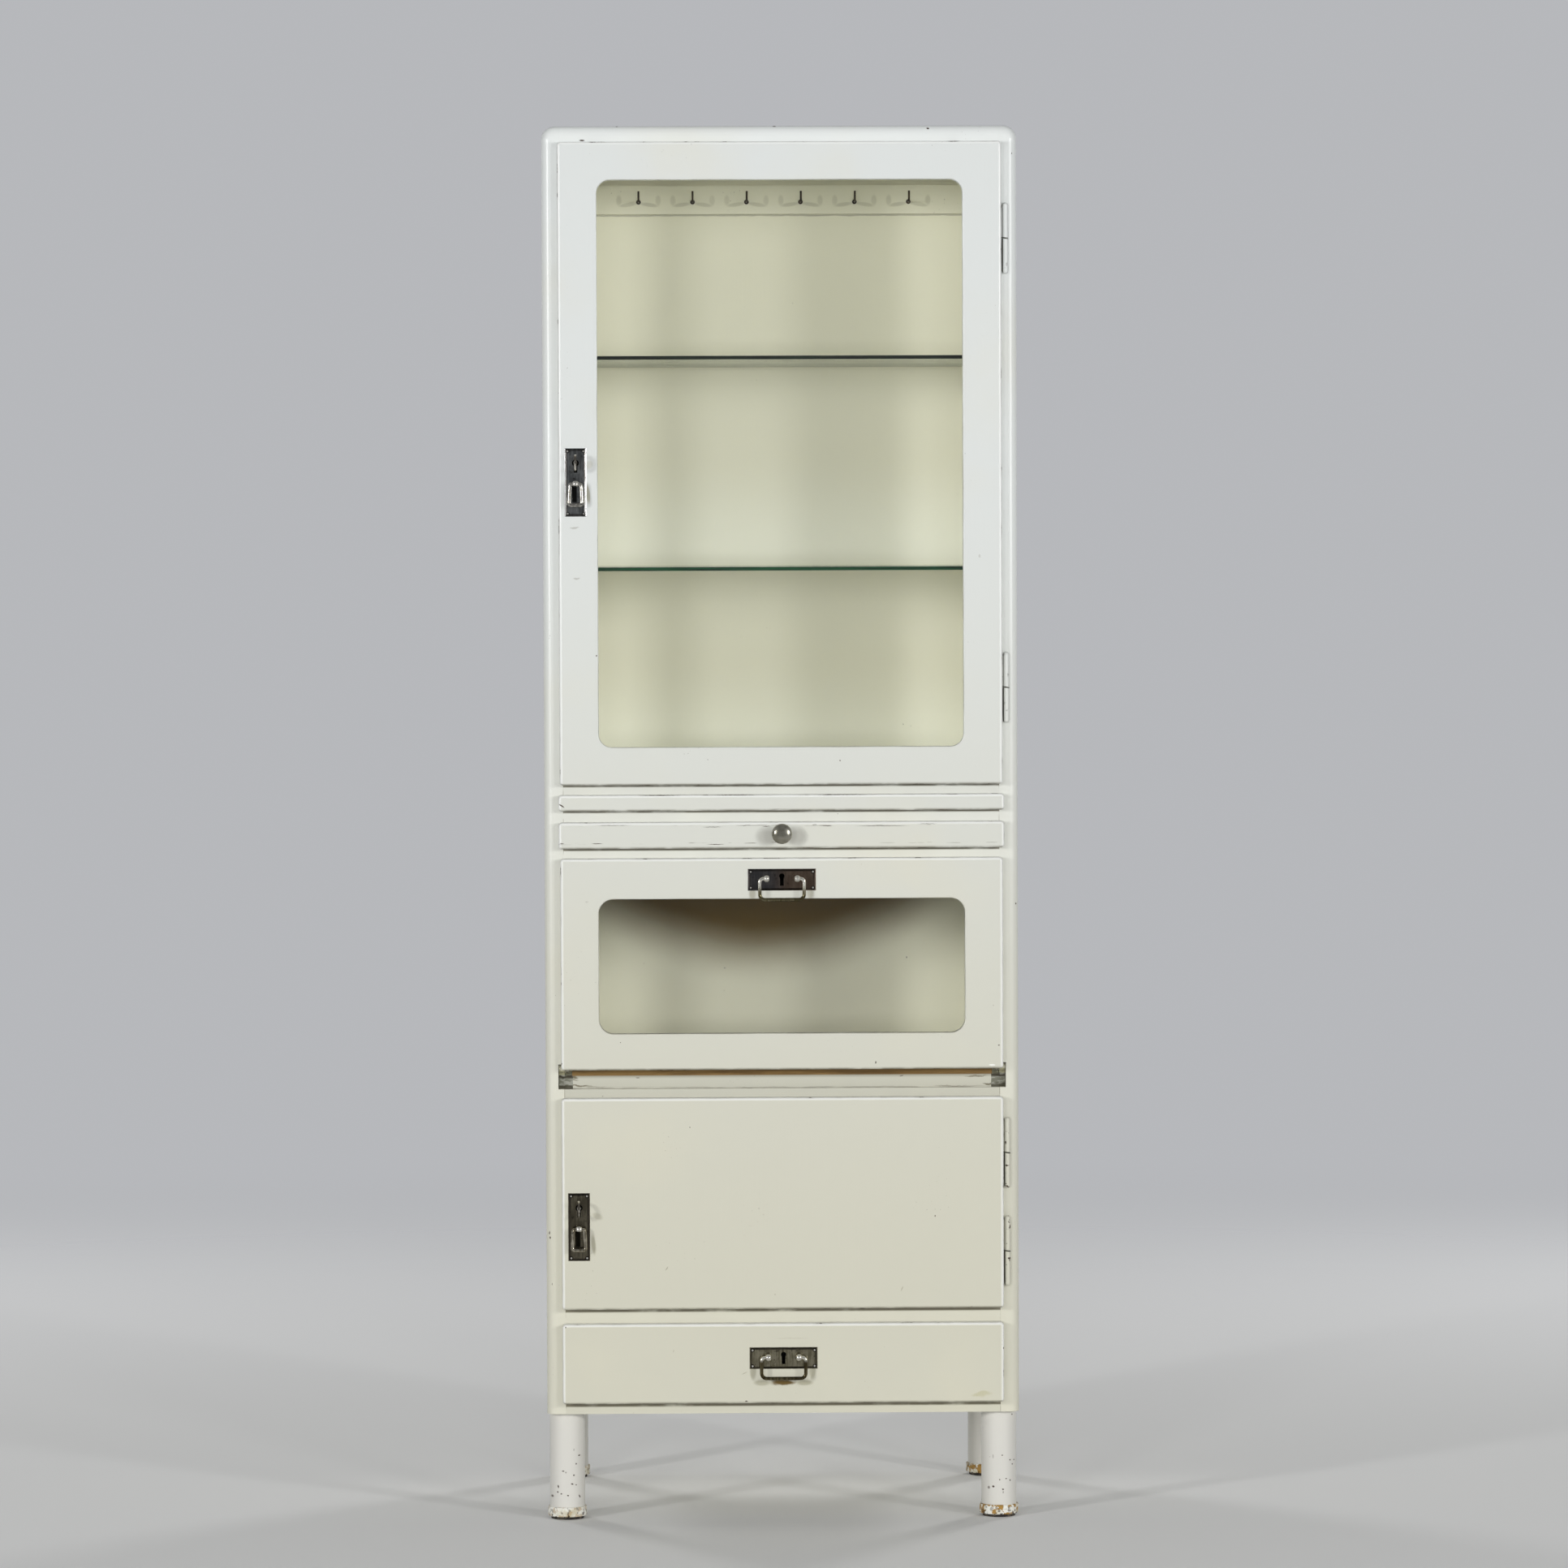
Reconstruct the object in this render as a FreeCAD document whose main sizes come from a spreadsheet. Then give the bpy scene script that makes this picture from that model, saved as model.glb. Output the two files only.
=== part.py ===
import FreeCAD, Part
import math
import os
import Sketcher
from FreeCAD import Rotation, Vector

# Medical cabinet of painted wood: a glazed door over two slides, a glazed fall flap,
# a solid door and a drawer, on four round legs. Millimetres, +X right, +Y into the
# cabinet, +Z up, with the origin on the floor under the centre of the whole box.

sizes = {
    # carcass
    "width": 590,
    "depth": 420,
    "side_thickness": 23.5,
    "back_thickness": 8,
    "back_rebate": 10,
    "edge_round": 12,
    "top_corner_round": 16.5,
    # heights, from the floor up
    "leg_height": 134,
    "bottom_reveal": 14,
    "drawer_front_height": 100,
    "drawer_reveal": 18,
    "lower_door_height": 264,
    "sill_reveal": 10.5,
    "sill_recess": 24.5,
    "flap_height": 263.5,
    "flap_reveal": 12,
    "tray_front_height": 33,
    "tray_reveal": 14,
    "board_front_height": 20,
    "board_reveal": 12,
    "upper_door_height": 797,
    "top_reveal": 20.5,
    # fronts: how far they stand proud, lap their opening and reach into it
    "front_proud": 16,
    "front_gap": 0.5,
    "front_lap": 3.5,
    "slide_lap": 5.5,
    "rebate_depth": 8,
    "rebate_clearance": 2,
    "front_corner_round": 4.5,
    "front_edge_round": 3.5,
    "strip_edge_round": 3,
    # windows and their glass
    "door_stile": 48.5,
    "door_rail": 47.3,
    "door_window_round": 16.5,
    "flap_stile": 47.5,
    "flap_top_rail": 50.5,
    "flap_bottom_rail": 45.5,
    "flap_window_round": 18,
    "window_edge_round": 1.5,
    "glass_thickness": 4,
    "glass_lap": 9,
    "glass_clearance": 0.5,
    "bead_width": 8,
    "bead_depth": 8,
    # glass shelves on pegs
    "shelf_thickness": 4.5,
    "lower_shelf_rise": 262.5,
    "upper_shelf_rise": 525,
    "shelf_front_gap": 14,
    "shelf_back_gap": 24,
    "shelf_side_clearance": 1.5,
    "peg_radius": 3,
    "peg_reach": 12,
    "peg_depth": 8,
    "peg_inset": 50,
    # rail with hooks
    "hook_rail_height": 37,
    "hook_rail_thickness": 15,
    "hook_rail_drop": 28.5,
    "hook_rise_above_edge": 15.4,
    "hook_count": 6,
    "hook_spacing": 70.2,
    "hook_rod_radius": 1.3,
    "hook_collar_radius": 3,
    "hook_collar_thickness": 1.5,
    "hook_reach": 26,
    "hook_rise": 13,
    "hook_bend": 2.6,
    "hook_sink": 3,
    # legs
    "leg_radius": 22,
    "leg_side_inset": 2.5,
    "leg_end_inset": 8.5,
    "leg_tenon_radius": 9,
    "leg_tenon_length": 14,
    "ferrule_wall": 2.4,
    "ferrule_height": 12,
    "ferrule_round": 1.4,
    "glide_radius": 20.5,
    "glide_height": 3.5,
    # lift-off hinges
    "hinge_height": 88.5,
    "barrel_radius": 4,
    "hinge_edge_gap": 1,
    "hinge_axis_out": 6.5,
    "hinge_split": 0.6,
    "pin_radius": 2.2,
    "pin_reach": 38,
    "running_gap": 0.06,
    "leaf_thickness": 2,
    "leaf_width": 8,
    "leaf_height": 38,
    "neck_thickness": 3,
    "upper_hinge_inset": 120,
    "lower_hinge_inset": 70.5,
    # lock plates, keyholes, locks and keys
    "plate_length": 84.5,
    "plate_width": 27,
    "plate_thickness": 1.5,
    "plate_bevel": 2.4,
    "plate_bevel_depth": 1.1,
    "nail_radius": 1.4,
    "nail_inset": 3.6,
    "nail_reach": 0.5,
    "door_plate_inset": 21.2,
    "upper_lock_rise": 376,
    "lower_lock_rise": 104,
    "flap_lock_drop": 26.8,
    "drawer_lock_drop": 43,
    "door_key_rise": 24,
    "wide_key_rise": 4.4,
    "keyhole_radius": 2.9,
    "keyhole_slot_width": 3.8,
    "keyhole_slot_drop": 11.5,
    "lock_depth": 12,
    "lock_wall": 1.5,
    "door_lock_width": 30,
    "door_lock_height": 72,
    "wide_lock_width": 52,
    "wide_lock_below_key": 12,
    "bolt_set_back": 4,
    "bolt_thickness": 3,
    "bolt_width": 16,
    "bolt_length": 22,
    "bolt_throw": 9,
    "bolt_fit": 0.3,
    "strike_thickness": 1.5,
    "strike_length": 42,
    "strike_width": 9,
    "key_reach": 26,
    "key_stem_radius": 2.4,
    "key_bow_radius": 10.3,
    "key_bow_hole": 6.4,
    "key_bow_thickness": 2.5,
    "key_tip_back": 1.6,
    "key_bit_drop": 8,
    "key_bit_thickness": 2.2,
    "key_bit_length": 3,
    # bail handles and ring pulls
    "post_rise": 1.7,
    "post_spacing": 38.2,
    "post_reach": 9,
    "post_radius": 3,
    "post_head_radius": 4.2,
    "bail_rod_radius": 2.2,
    "bail_half_width": 27.5,
    "bail_drop": 26,
    "bail_shoulder_bend": 4.4,
    "bail_corner_bend": 6.5,
    "pull_pivot_drop": 2,
    "pull_reach": 8,
    "pull_head_radius": 4.4,
    "pull_rod_radius": 2.5,
    "pull_top_half": 6.6,
    "pull_bottom_half": 8.3,
    "pull_drop": 25.8,
    "pull_bend": 3,
    # pull-out board and shallow tray
    "slide_clearance": 1,
    "seat_gap": 0.3,
    "board_head_gap": 1,
    "board_back_gap": 72,
    "tray_back_gap": 52,
    "tray_head_gap": 2,
    "tray_side_thickness": 10,
    "tray_bottom_thickness": 4,
    "tray_bottom_rise": 2.5,
    "groove_depth": 4,
    "knob_radius": 12.6,
    "knob_reach": 25,
    "knob_dome": 5.6,
    "knob_neck_radius": 4.6,
    "knob_foot_radius": 7.5,
    "knob_foot": 2.5,
    "knob_raise": 2.5,
    # drawer
    "drawer_back_gap": 40,
    "drawer_head_gap": 8,
    "drawer_side_thickness": 12,
    "drawer_bottom_thickness": 5,
    "drawer_bottom_rise": 6,
    # flap pivots and stays
    "sill_set_back": 10,
    "pivot_clearance": 0.5,
    "pivot_pin_radius": 2.5,
    "pivot_eye_radius": 5,
    "pivot_arm_thickness": 3.5,
    "pivot_arm_width": 5,
    "pivot_arm_height": 36,
    "bracket_foot_width": 18,
    "bracket_foot_thickness": 2.5,
    "bracket_ear_width": 7.5,
    "bracket_overhang": 7.5,
    "notch_play": 1,
    "stay_radius": 150,
    "stay_width": 8,
    "stay_thickness": 3,
    "stay_side_gap": 4.5,
    "stay_stop_radius": 6.2,
    "stay_stop_reach": 2.5,
    "stay_slot_play": 2,
    "stay_foot_width": 14,
    "stay_foot_height": 26,
    "keeper_length": 8,
    "keeper_set_back": 3,
    "keeper_wall": 2.5,
    "keeper_gap": 0.5,
}

doc = FreeCAD.newDocument("medical_cabinet")
dims = doc.addObject("Spreadsheet::Sheet", "dims")
for row, (name, value) in enumerate(sizes.items(), start=1):
    dims.set(f"A{row}", name)
    dims.set(f"B{row}", str(value))
    dims.setAlias(f"B{row}", name)
doc.recompute()

sub_parts = []
near = 1e-4  # how close two places count as one, when edges are picked


def size(name):
    return float(dims.get(name))


# Small tools that make bound objects. Every size is an expression on the sheet.

def place(thing, at):
    for axis, text in zip("xyz", at):
        thing.setExpression(f"Placement.Base.{axis}", text)
    return thing


def block(label, x, y, z):
    """A box between two places on each axis."""
    box = doc.addObject("Part::Box", label)
    for side, (low, high) in zip(("Length", "Width", "Height"), (x, y, z)):
        box.setExpression(side, f"({high}) - ({low})")
    return place(box, [low for low, high in (x, y, z)])


turns = {
    "x": Rotation(Vector(0, 1, 0), 90),
    "y": Rotation(Vector(1, 0, 0), -90),
    "z": Rotation(),
}


def rod(label, axis, at, radius, length):
    """A cylinder that starts at a place and runs along an axis."""
    cylinder = doc.addObject("Part::Cylinder", label)
    cylinder.Placement = FreeCAD.Placement(Vector(), turns[axis])
    cylinder.setExpression("Radius", radius)
    cylinder.setExpression("Height", length)
    return place(cylinder, at)


def ball(label, at, radius):
    sphere = doc.addObject("Part::Sphere", label)
    sphere.setExpression("Radius", radius)
    return place(sphere, at)


def join(label, pieces):
    fused = doc.addObject("Part::MultiFuse", label)
    fused.Shapes = pieces
    return fused


def group(label, pieces):
    """Separate solids that share one name."""
    bundle = doc.addObject("Part::Compound", label)
    bundle.Links = pieces
    return bundle


def cut(label, base, tools):
    carved = doc.addObject("Part::Cut", label)
    carved.Base = base
    carved.Tool = tools[0] if len(tools) == 1 else group(f"{label}_cutters", tools)
    return carved


def keep(label, thing):
    thing.Label = label
    sub_parts.append(thing)
    return thing


def new_body(label, at):
    return place(doc.addObject("PartDesign::Body", label), at)


def outline(body, role, points, offset="0"):
    """A closed outline of straight lines whose corners are bound to the sheet."""
    drawing = body.newObject("Sketcher::SketchObject", f"{body.Name}_outline")
    plane = next(item for item in body.Origin.OriginFeatures if item.Role == role)
    drawing.AttachmentSupport = [(plane, "")]
    drawing.MapMode = "FlatFace"
    drawing.setExpression("AttachmentOffset.Base.z", offset)
    count = len(points)
    start = [Vector(math.cos(math.tau * i / count), math.sin(math.tau * i / count), 0) for i in range(count)]
    for i in range(count):
        drawing.addGeometry(Part.LineSegment(start[i], start[(i + 1) % count]))
    for i in range(count):
        drawing.addConstraint(Sketcher.Constraint("Coincident", i, 2, (i + 1) % count, 1))
    for i, corner in enumerate(points):
        for kind, text in zip(("DistanceX", "DistanceY"), corner):
            number = drawing.addConstraint(Sketcher.Constraint(kind, -1, 1, i, 1, 1.0))
            drawing.renameConstraint(number, f"{kind}{i}")
            drawing.setExpression(f"Constraints.{kind}{i}", text)
    return drawing


def rectangle(body, role, u, v, offset="0"):
    corners = [(u[0], v[0]), (u[1], v[0]), (u[1], v[1]), (u[0], v[1])]
    return outline(body, role, corners, offset)


def feature(body, kind, drawing, length, backwards=False):
    """A Pad or Pocket of one length. On XZ a Pad runs forwards and a Pocket backwards."""
    made = body.newObject(f"PartDesign::{kind}", f"{body.Name}_{kind.lower()}")
    made.Profile = drawing
    made.Reversed = backwards
    made.setExpression("Length", length)
    doc.recompute()
    return made


def turned(body, drawing):
    """A full turn about the outline's upright axis."""
    made = body.newObject("PartDesign::Revolution", f"{body.Name}_turned")
    made.Profile = drawing
    made.ReferenceAxis = (drawing, ["V_Axis"])
    doc.recompute()
    return made


def picked(body, **places):
    """Names of the edges that lie wholly at the given x, y or z of the body's own frame."""
    names = []
    for number, edge in enumerate(body.Tip.Shape.Edges, start=1):
        first, last = edge.ParameterRange
        points = [edge.valueAt(first + (last - first) * i / 4) for i in range(5)]
        if all(abs(getattr(point, axis) - at) < near for point in points for axis, at in places.items()):
            names.append(f"Edge{number}")
    return names


def dressed(body, kind, names, measure, value):
    """A Fillet or Chamfer on named edges of the body as it stands."""
    before = body.Tip
    made = body.newObject(f"PartDesign::{kind}", f"{body.Name}_{kind.lower()}")
    made.Base = (before, names)
    made.setExpression(measure, value)
    doc.recompute()
    return made


def rounded(body, names, radius):
    return dressed(body, "Fillet", names, "Radius", radius)


def across(side, low, high):
    """A span to the right of the middle, or its mirror image to the left."""
    return (low, high) if side > 0 else (f"-({high})", f"-({low})")


def bent_rod(label, corners, bend_names, radius_name, closed=False):
    """A round rod along straight runs joined by tangent arcs, from the sheet's sizes."""
    radius = size(radius_name)
    count = len(corners)
    turning = range(count) if closed else range(1, count - 1)
    arcs = {}
    for i in turning:
        here = corners[i]
        into = (here - corners[i - 1]).normalize()
        out = (corners[(i + 1) % count] - here).normalize()
        angle = into.getAngle(out)
        bend = size(bend_names[i])
        reach = bend * math.tan(angle / 2)
        middle = here + (out - into).normalize() * (bend / math.cos(angle / 2) - bend)
        arcs[i] = (here - into * reach, middle, here + out * reach)
    edges = []
    runs = range(count) if closed else range(count - 1)
    for i in runs:
        after = (i + 1) % count
        begin = arcs[i][2] if i in arcs else corners[i]
        end = arcs[after][0] if after in arcs else corners[after]
        edges.append(Part.makeLine(begin, end))
        if after in arcs:
            edges.append(Part.Arc(*arcs[after]).toShape())
    path = Part.Wire(edges)
    at = edges[0].Vertexes[0].Point
    section = Part.Wire(Part.makeCircle(radius, at, edges[0].tangentAt(0)))
    made = doc.addObject("Part::Feature", label)
    made.Shape = path.makePipeShell([section], True, False)
    return made


# Places that many pieces share

inside = "(dims.width / 2 - dims.side_thickness)"
front_reach = "(dims.front_gap + dims.front_proud + dims.plate_thickness + dims.key_reach)"
front = f"(({front_reach} - dims.depth) / 2)"
back = f"({front} + dims.depth)"
back_face = f"({back} - dims.back_thickness)"
lip_back = f"({front} - dims.front_gap)"
face = f"({lip_back} - dims.front_proud)"
plate_face = f"({face} - dims.plate_thickness)"
rebate_back = f"({front} + dims.rebate_depth)"
half_front = f"({inside} + dims.front_lap)"
half_rebate = f"({inside} - dims.rebate_clearance)"

levels = {}
height_so_far = "dims.leg_height"
storeys = ["bottom_reveal", "drawer_front_height", "drawer_reveal", "lower_door_height", "sill_reveal",
           "sill_recess", "flap_height", "flap_reveal", "tray_front_height", "tray_reveal",
           "board_front_height", "board_reveal", "upper_door_height", "top_reveal"]
for storey in storeys:
    height_so_far = f"{height_so_far} + dims.{storey}"
    levels[storey] = f"({height_so_far})"
drawer_low, drawer_high = levels["bottom_reveal"], levels["drawer_front_height"]
lower_door_low, lower_door_high = levels["drawer_reveal"], levels["lower_door_height"]
sill, flap_low, flap_high = levels["sill_reveal"], levels["sill_recess"], levels["flap_height"]
tray_low, tray_high = levels["flap_reveal"], levels["tray_front_height"]
board_low, board_high = levels["tray_reveal"], levels["board_front_height"]
upper_door_low, upper_door_high = levels["board_reveal"], levels["upper_door_height"]
top = levels["top_reveal"]
top_level = size("leg_height") + sum(size(storey) for storey in storeys)

# A division board ends one lap behind the fronts above and below it
bottom_high = f"({drawer_low} + dims.front_lap)"
lower_floor_span = (f"({drawer_high} - dims.front_lap)", f"({lower_door_low} + dims.front_lap)")
flap_floor_span = (f"({lower_door_high} - dims.front_lap)", f"({sill} + dims.front_proud)")
tray_shelf_span = (f"({flap_high} - dims.front_lap)", f"({tray_low} + dims.front_lap)")
board_shelf_span = (f"({tray_high} - dims.front_lap)", f"({board_low} + dims.front_lap)")
upper_floor_span = (f"({board_high} - dims.front_lap)", f"({upper_door_low} + dims.front_lap)")
ceiling = f"({upper_door_high} - dims.front_lap)"
back_low = f"({bottom_high} - dims.back_rebate)"
back_high = f"({ceiling} + dims.back_rebate)"

# Where each lock sits: plate centres, keyholes and bolts
door_plate_x = f"(-{half_front} + dims.door_plate_inset)"
upper_lock_z = f"({upper_door_low} + dims.upper_lock_rise)"
lower_lock_z = f"({lower_door_low} + dims.lower_lock_rise)"
flap_lock_z = f"({flap_high} - dims.flap_lock_drop)"
drawer_lock_z = f"({drawer_high} - dims.drawer_lock_drop)"
flap_rebate_high = f"({tray_shelf_span[0]} - dims.rebate_clearance)"
drawer_rebate_high = f"({lower_floor_span[0]} - dims.rebate_clearance)"
case_front = f"({rebate_back} - dims.lock_depth)"
bolt_middle = f"({front} + dims.bolt_set_back)"
bolt_slot_y = (f"{bolt_middle} - dims.bolt_thickness / 2 - dims.bolt_fit",
               f"{bolt_middle} + dims.bolt_thickness / 2 + dims.bolt_fit")
bolt_y = (f"{bolt_middle} - dims.bolt_thickness / 2", f"{bolt_middle} + dims.bolt_thickness / 2")
half_bolt_slot = "(dims.bolt_width / 2 + dims.bolt_fit)"
strike_y = (f"{bolt_middle} - dims.strike_width / 2 + dims.bolt_fit",
            f"{bolt_middle} + dims.strike_width / 2 + dims.bolt_fit")
mortise_depth = "(dims.bolt_throw + 2 * dims.bolt_fit)"

# Flap pivot: the flap's face comes down onto the sill, its back level with the floor
pivot_y = rebate_back
pivot_z = f"({sill} + dims.pivot_clearance + dims.front_proud + dims.front_gap + dims.rebate_depth)"
notch_side = f"({inside} + dims.bracket_overhang)"
notch_back = f"({pivot_y} + dims.pivot_eye_radius + dims.notch_play)"
notch_high = f"({pivot_z} + dims.pivot_eye_radius + dims.notch_play)"
stay_x = (f"{inside} - dims.stay_side_gap - dims.stay_thickness", f"{inside} - dims.stay_side_gap")
stay_outer = "(dims.stay_radius + dims.stay_width / 2)"
stay_inner = "(dims.stay_radius - dims.stay_width / 2)"
keeper_front = f"({pivot_y} + dims.keeper_set_back)"
keeper_back = f"({keeper_front} + dims.keeper_length)"

# Hinge places: one axis for both doors
hinge_x = f"({half_front} + dims.hinge_edge_gap + dims.barrel_radius)"
hinge_y = f"({front} - dims.hinge_axis_out)"
upper_hinges = [f"({upper_door_low} + dims.upper_hinge_inset)",
                f"({upper_door_high} - dims.upper_hinge_inset)"]
lower_hinges = [f"({lower_door_low} + dims.lower_hinge_inset)",
                f"({lower_door_high} - dims.lower_hinge_inset)"]


# Carcass

def peg_places(side):
    """Start and height of each shelf peg on one side."""
    for rise in ("dims.lower_shelf_rise", "dims.upper_shelf_rise"):
        z = f"({upper_floor_span[1]} + {rise} - dims.peg_radius)"
        for y in (f"({front} + dims.shelf_front_gap + dims.peg_inset)",
                  f"({back_face} - dims.shelf_back_gap - dims.peg_inset)"):
            x = f"{inside} - dims.peg_reach" if side > 0 else f"-({inside} + dims.peg_depth)"
            yield (x, y, z)


def peg_rods(side, name):
    length = "dims.peg_reach + dims.peg_depth"
    return [rod(name, "x", at, "dims.peg_radius", length) for at in peg_places(side)]


leg_side = "(dims.width / 2 - dims.leg_side_inset - dims.leg_radius)"
leg_front = f"({front} + dims.leg_end_inset + dims.leg_radius)"
leg_back = f"({back} - dims.leg_end_inset - dims.leg_radius)"


def tenons(side, name):
    """Round tenons on the tops of the two legs of one side."""
    x = leg_side if side > 0 else f"-{leg_side}"
    return [rod(name, "z", (x, y, "dims.leg_height"), "dims.leg_tenon_radius", "dims.leg_tenon_length")
            for y in (leg_front, leg_back)]


def side_panel(label, side):
    """Full-height side, its outer front edge and top corner rounded."""
    low, high = across(side, inside, "dims.width / 2")
    blank = new_body(f"{label}_blank", ("0", back, "0"))
    feature(blank, "Pad", rectangle(blank, "XZ_Plane", (low, high), ("dims.leg_height", top)), "dims.depth")
    outer = side * size("width") / 2
    inner = outer - side * size("side_thickness")
    rounded(blank, picked(blank, x=outer, z=top_level), "dims.top_corner_round")
    front_edges = set(picked(blank, y=-size("depth")))
    front_edges -= set(picked(blank, x=inner)) | set(picked(blank, z=size("leg_height")))
    rounded(blank, sorted(front_edges), "dims.edge_round")
    cutters = [block("rebate", across(side, inside, f"{inside} + dims.back_rebate"),
                     (back_face, back), (back_low, back_high))]
    cutters.append(block("notch", across(side, inside, notch_side), (front, notch_back), (sill, notch_high)))
    cutters += peg_rods(side, "peg_hole") + tenons(side, "leg_mortise")
    if side > 0:
        cutters += [block("leaf_bed", leaf_x, (front, f"{front} + dims.leaf_thickness"), frame_leaf_z(z))
                    for z in upper_hinges + lower_hinges]
    else:
        for z in (upper_lock_z, lower_lock_z):
            strike_z = (f"{z} - dims.strike_length / 2", f"{z} + dims.strike_length / 2")
            cutters.append(block("strike_bed", across(side, inside, f"{inside} + dims.strike_thickness"),
                                 strike_y, strike_z))
            cutters.append(block("mortise", across(side, inside, f"{inside} + {mortise_depth}"), bolt_slot_y,
                                 (f"{z} - {half_bolt_slot}", f"{z} + {half_bolt_slot}")))
    return keep(label, cut(f"{label}_cut", blank, cutters))


leaf_x = (f"{hinge_x} - dims.leaf_width / 2", f"{hinge_x} + dims.leaf_width / 2")


def frame_leaf_z(z):
    low = f"{z} - dims.hinge_split / 2 - dims.leaf_height"
    return (low, f"{low} + dims.leaf_height")


def division(label, span):
    return block(label, (f"-{inside}", inside), (front, back_face), span)


def bolt_cuts(z):
    """Bed for a strike plate and mortise for a bolt, both open downwards."""
    bed = block("strike_bed", ("-dims.strike_length / 2", "dims.strike_length / 2"), strike_y,
                (z, f"{z} + dims.strike_thickness"))
    mortise = block("mortise", (f"-{half_bolt_slot}", half_bolt_slot), bolt_slot_y,
                    (z, f"{z} + {mortise_depth}"))
    return [bed, mortise]


side_panel("left_side", -1)
side_panel("right_side", 1)

top_blank = new_body("top_blank", ("0", back, "0"))
top_outline = rectangle(top_blank, "XZ_Plane", (f"-{inside}", inside), (ceiling, top))
feature(top_blank, "Pad", top_outline, "dims.depth")
rounded(top_blank, picked(top_blank, y=-size("depth"), z=top_level), "dims.edge_round")
top_rebate = block("top_rebate", (f"-{inside}", inside), (back_face, back), (ceiling, back_high))
keep("top_board", cut("top_cut", top_blank, [top_rebate]))

keep("upper_floor", division("upper_floor", upper_floor_span))
keep("board_shelf", division("board_shelf", board_shelf_span))
keep("tray_shelf", cut("tray_shelf_cut", division("tray_shelf_blank", tray_shelf_span),
                       bolt_cuts(tray_shelf_span[0])))
keep("lower_floor", cut("lower_floor_cut", division("lower_floor_blank", lower_floor_span),
                        bolt_cuts(lower_floor_span[0])))

# The flap's floor is stepped in front: the flap lies on the step when it is open
foot_y = (f"{front} + dims.sill_set_back", f"{front} + dims.sill_set_back + dims.bracket_foot_thickness")
foot_inner = f"({notch_side} - dims.bracket_foot_width)"
half_slot = "(dims.stay_stop_radius + dims.stay_slot_play)"
stay_slot_y = (f"{pivot_y} + dims.stay_radius - {half_slot}", f"{pivot_y} + dims.stay_radius + {half_slot}")
flap_floor_cuts = [block("step", (f"-{inside}", inside), (front, f"{front} + dims.sill_set_back"),
                         (sill, flap_floor_span[1]))]
step_z = (sill, flap_floor_span[1])
for side in (-1, 1):
    slot_x = across(side, f"{stay_x[0]} - dims.notch_play", inside)
    flap_floor_cuts.append(block("foot_bed", across(side, foot_inner, inside), foot_y, step_z))
    flap_floor_cuts.append(block("stay_slot", slot_x, stay_slot_y, step_z))
keep("flap_floor", cut("flap_floor_cut", division("flap_floor_blank", flap_floor_span), flap_floor_cuts))

bottom_blank = block("bottom_blank", (f"-{inside}", inside), (front, back), ("dims.leg_height", bottom_high))
bottom_rebate = block("bottom_rebate", (f"-{inside}", inside), (back_face, back), (back_low, bottom_high))
bottom_mortises = tenons(-1, "leg_mortise") + tenons(1, "leg_mortise")
keep("bottom_board", cut("bottom_cut", bottom_blank, [bottom_rebate] + bottom_mortises))

half_back = f"({inside} + dims.back_rebate)"
back_span = (f"-{half_back}", half_back)
keep("back_panel", block("back_panel", back_span, (back_face, back), (back_low, back_high)))

# Fittings inside the upper compartment

rail_high = f"({ceiling} - dims.hook_rail_drop)"
rail_front = f"({back_face} - dims.hook_rail_thickness)"
rail_blank = block("hook_rail_blank", (f"-{inside}", inside), (rail_front, back_face),
                   (f"{rail_high} - dims.hook_rail_height", rail_high))
hook_z = f"({rail_high} - dims.hook_rail_height + dims.hook_rise_above_edge)"
hook_corners = [Vector(0, size("hook_sink"), 0), Vector(0, -size("hook_reach"), 0),
                Vector(0, -size("hook_reach"), size("hook_rise"))]
hooks, hook_holes = [], []
for i in range(int(size("hook_count"))):
    hook_x = f"(dims.hook_spacing * ({i} - (dims.hook_count - 1) / 2))"
    shank = bent_rod("hook_shank", hook_corners, {1: "hook_bend"}, "hook_rod_radius")
    place(shank, (hook_x, rail_front, hook_z))
    collar_at = (hook_x, f"{rail_front} - dims.hook_collar_thickness", hook_z)
    collar = rod("hook_collar", "y", collar_at, "dims.hook_collar_radius", "dims.hook_collar_thickness")
    hooks.append(join("hook", [shank, collar]))
    hole_at = (hook_x, rail_front, hook_z)
    hook_holes.append(rod("hook_hole", "y", hole_at, "dims.hook_rod_radius", "dims.hook_sink"))
keep("hook_rail", cut("hook_rail_cut", rail_blank, hook_holes))
keep("rail_hooks", group("rail_hooks", hooks))

keep("shelf_pegs", group("shelf_pegs", peg_rods(-1, "peg") + peg_rods(1, "peg")))
half_shelf = f"({inside} - dims.shelf_side_clearance)"
shelf_y = (f"{front} + dims.shelf_front_gap", f"{back_face} - dims.shelf_back_gap")
for label, rise in (("lower_shelf", "dims.lower_shelf_rise"), ("upper_shelf", "dims.upper_shelf_rise")):
    shelf_low = f"({upper_floor_span[1]} + {rise})"
    shelf_z = (shelf_low, f"{shelf_low} + dims.shelf_thickness")
    keep(label, block(label, (f"-{half_shelf}", half_shelf), shelf_y, shelf_z))

# Legs: each a turned post in a ferrule, on a round glide

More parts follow.
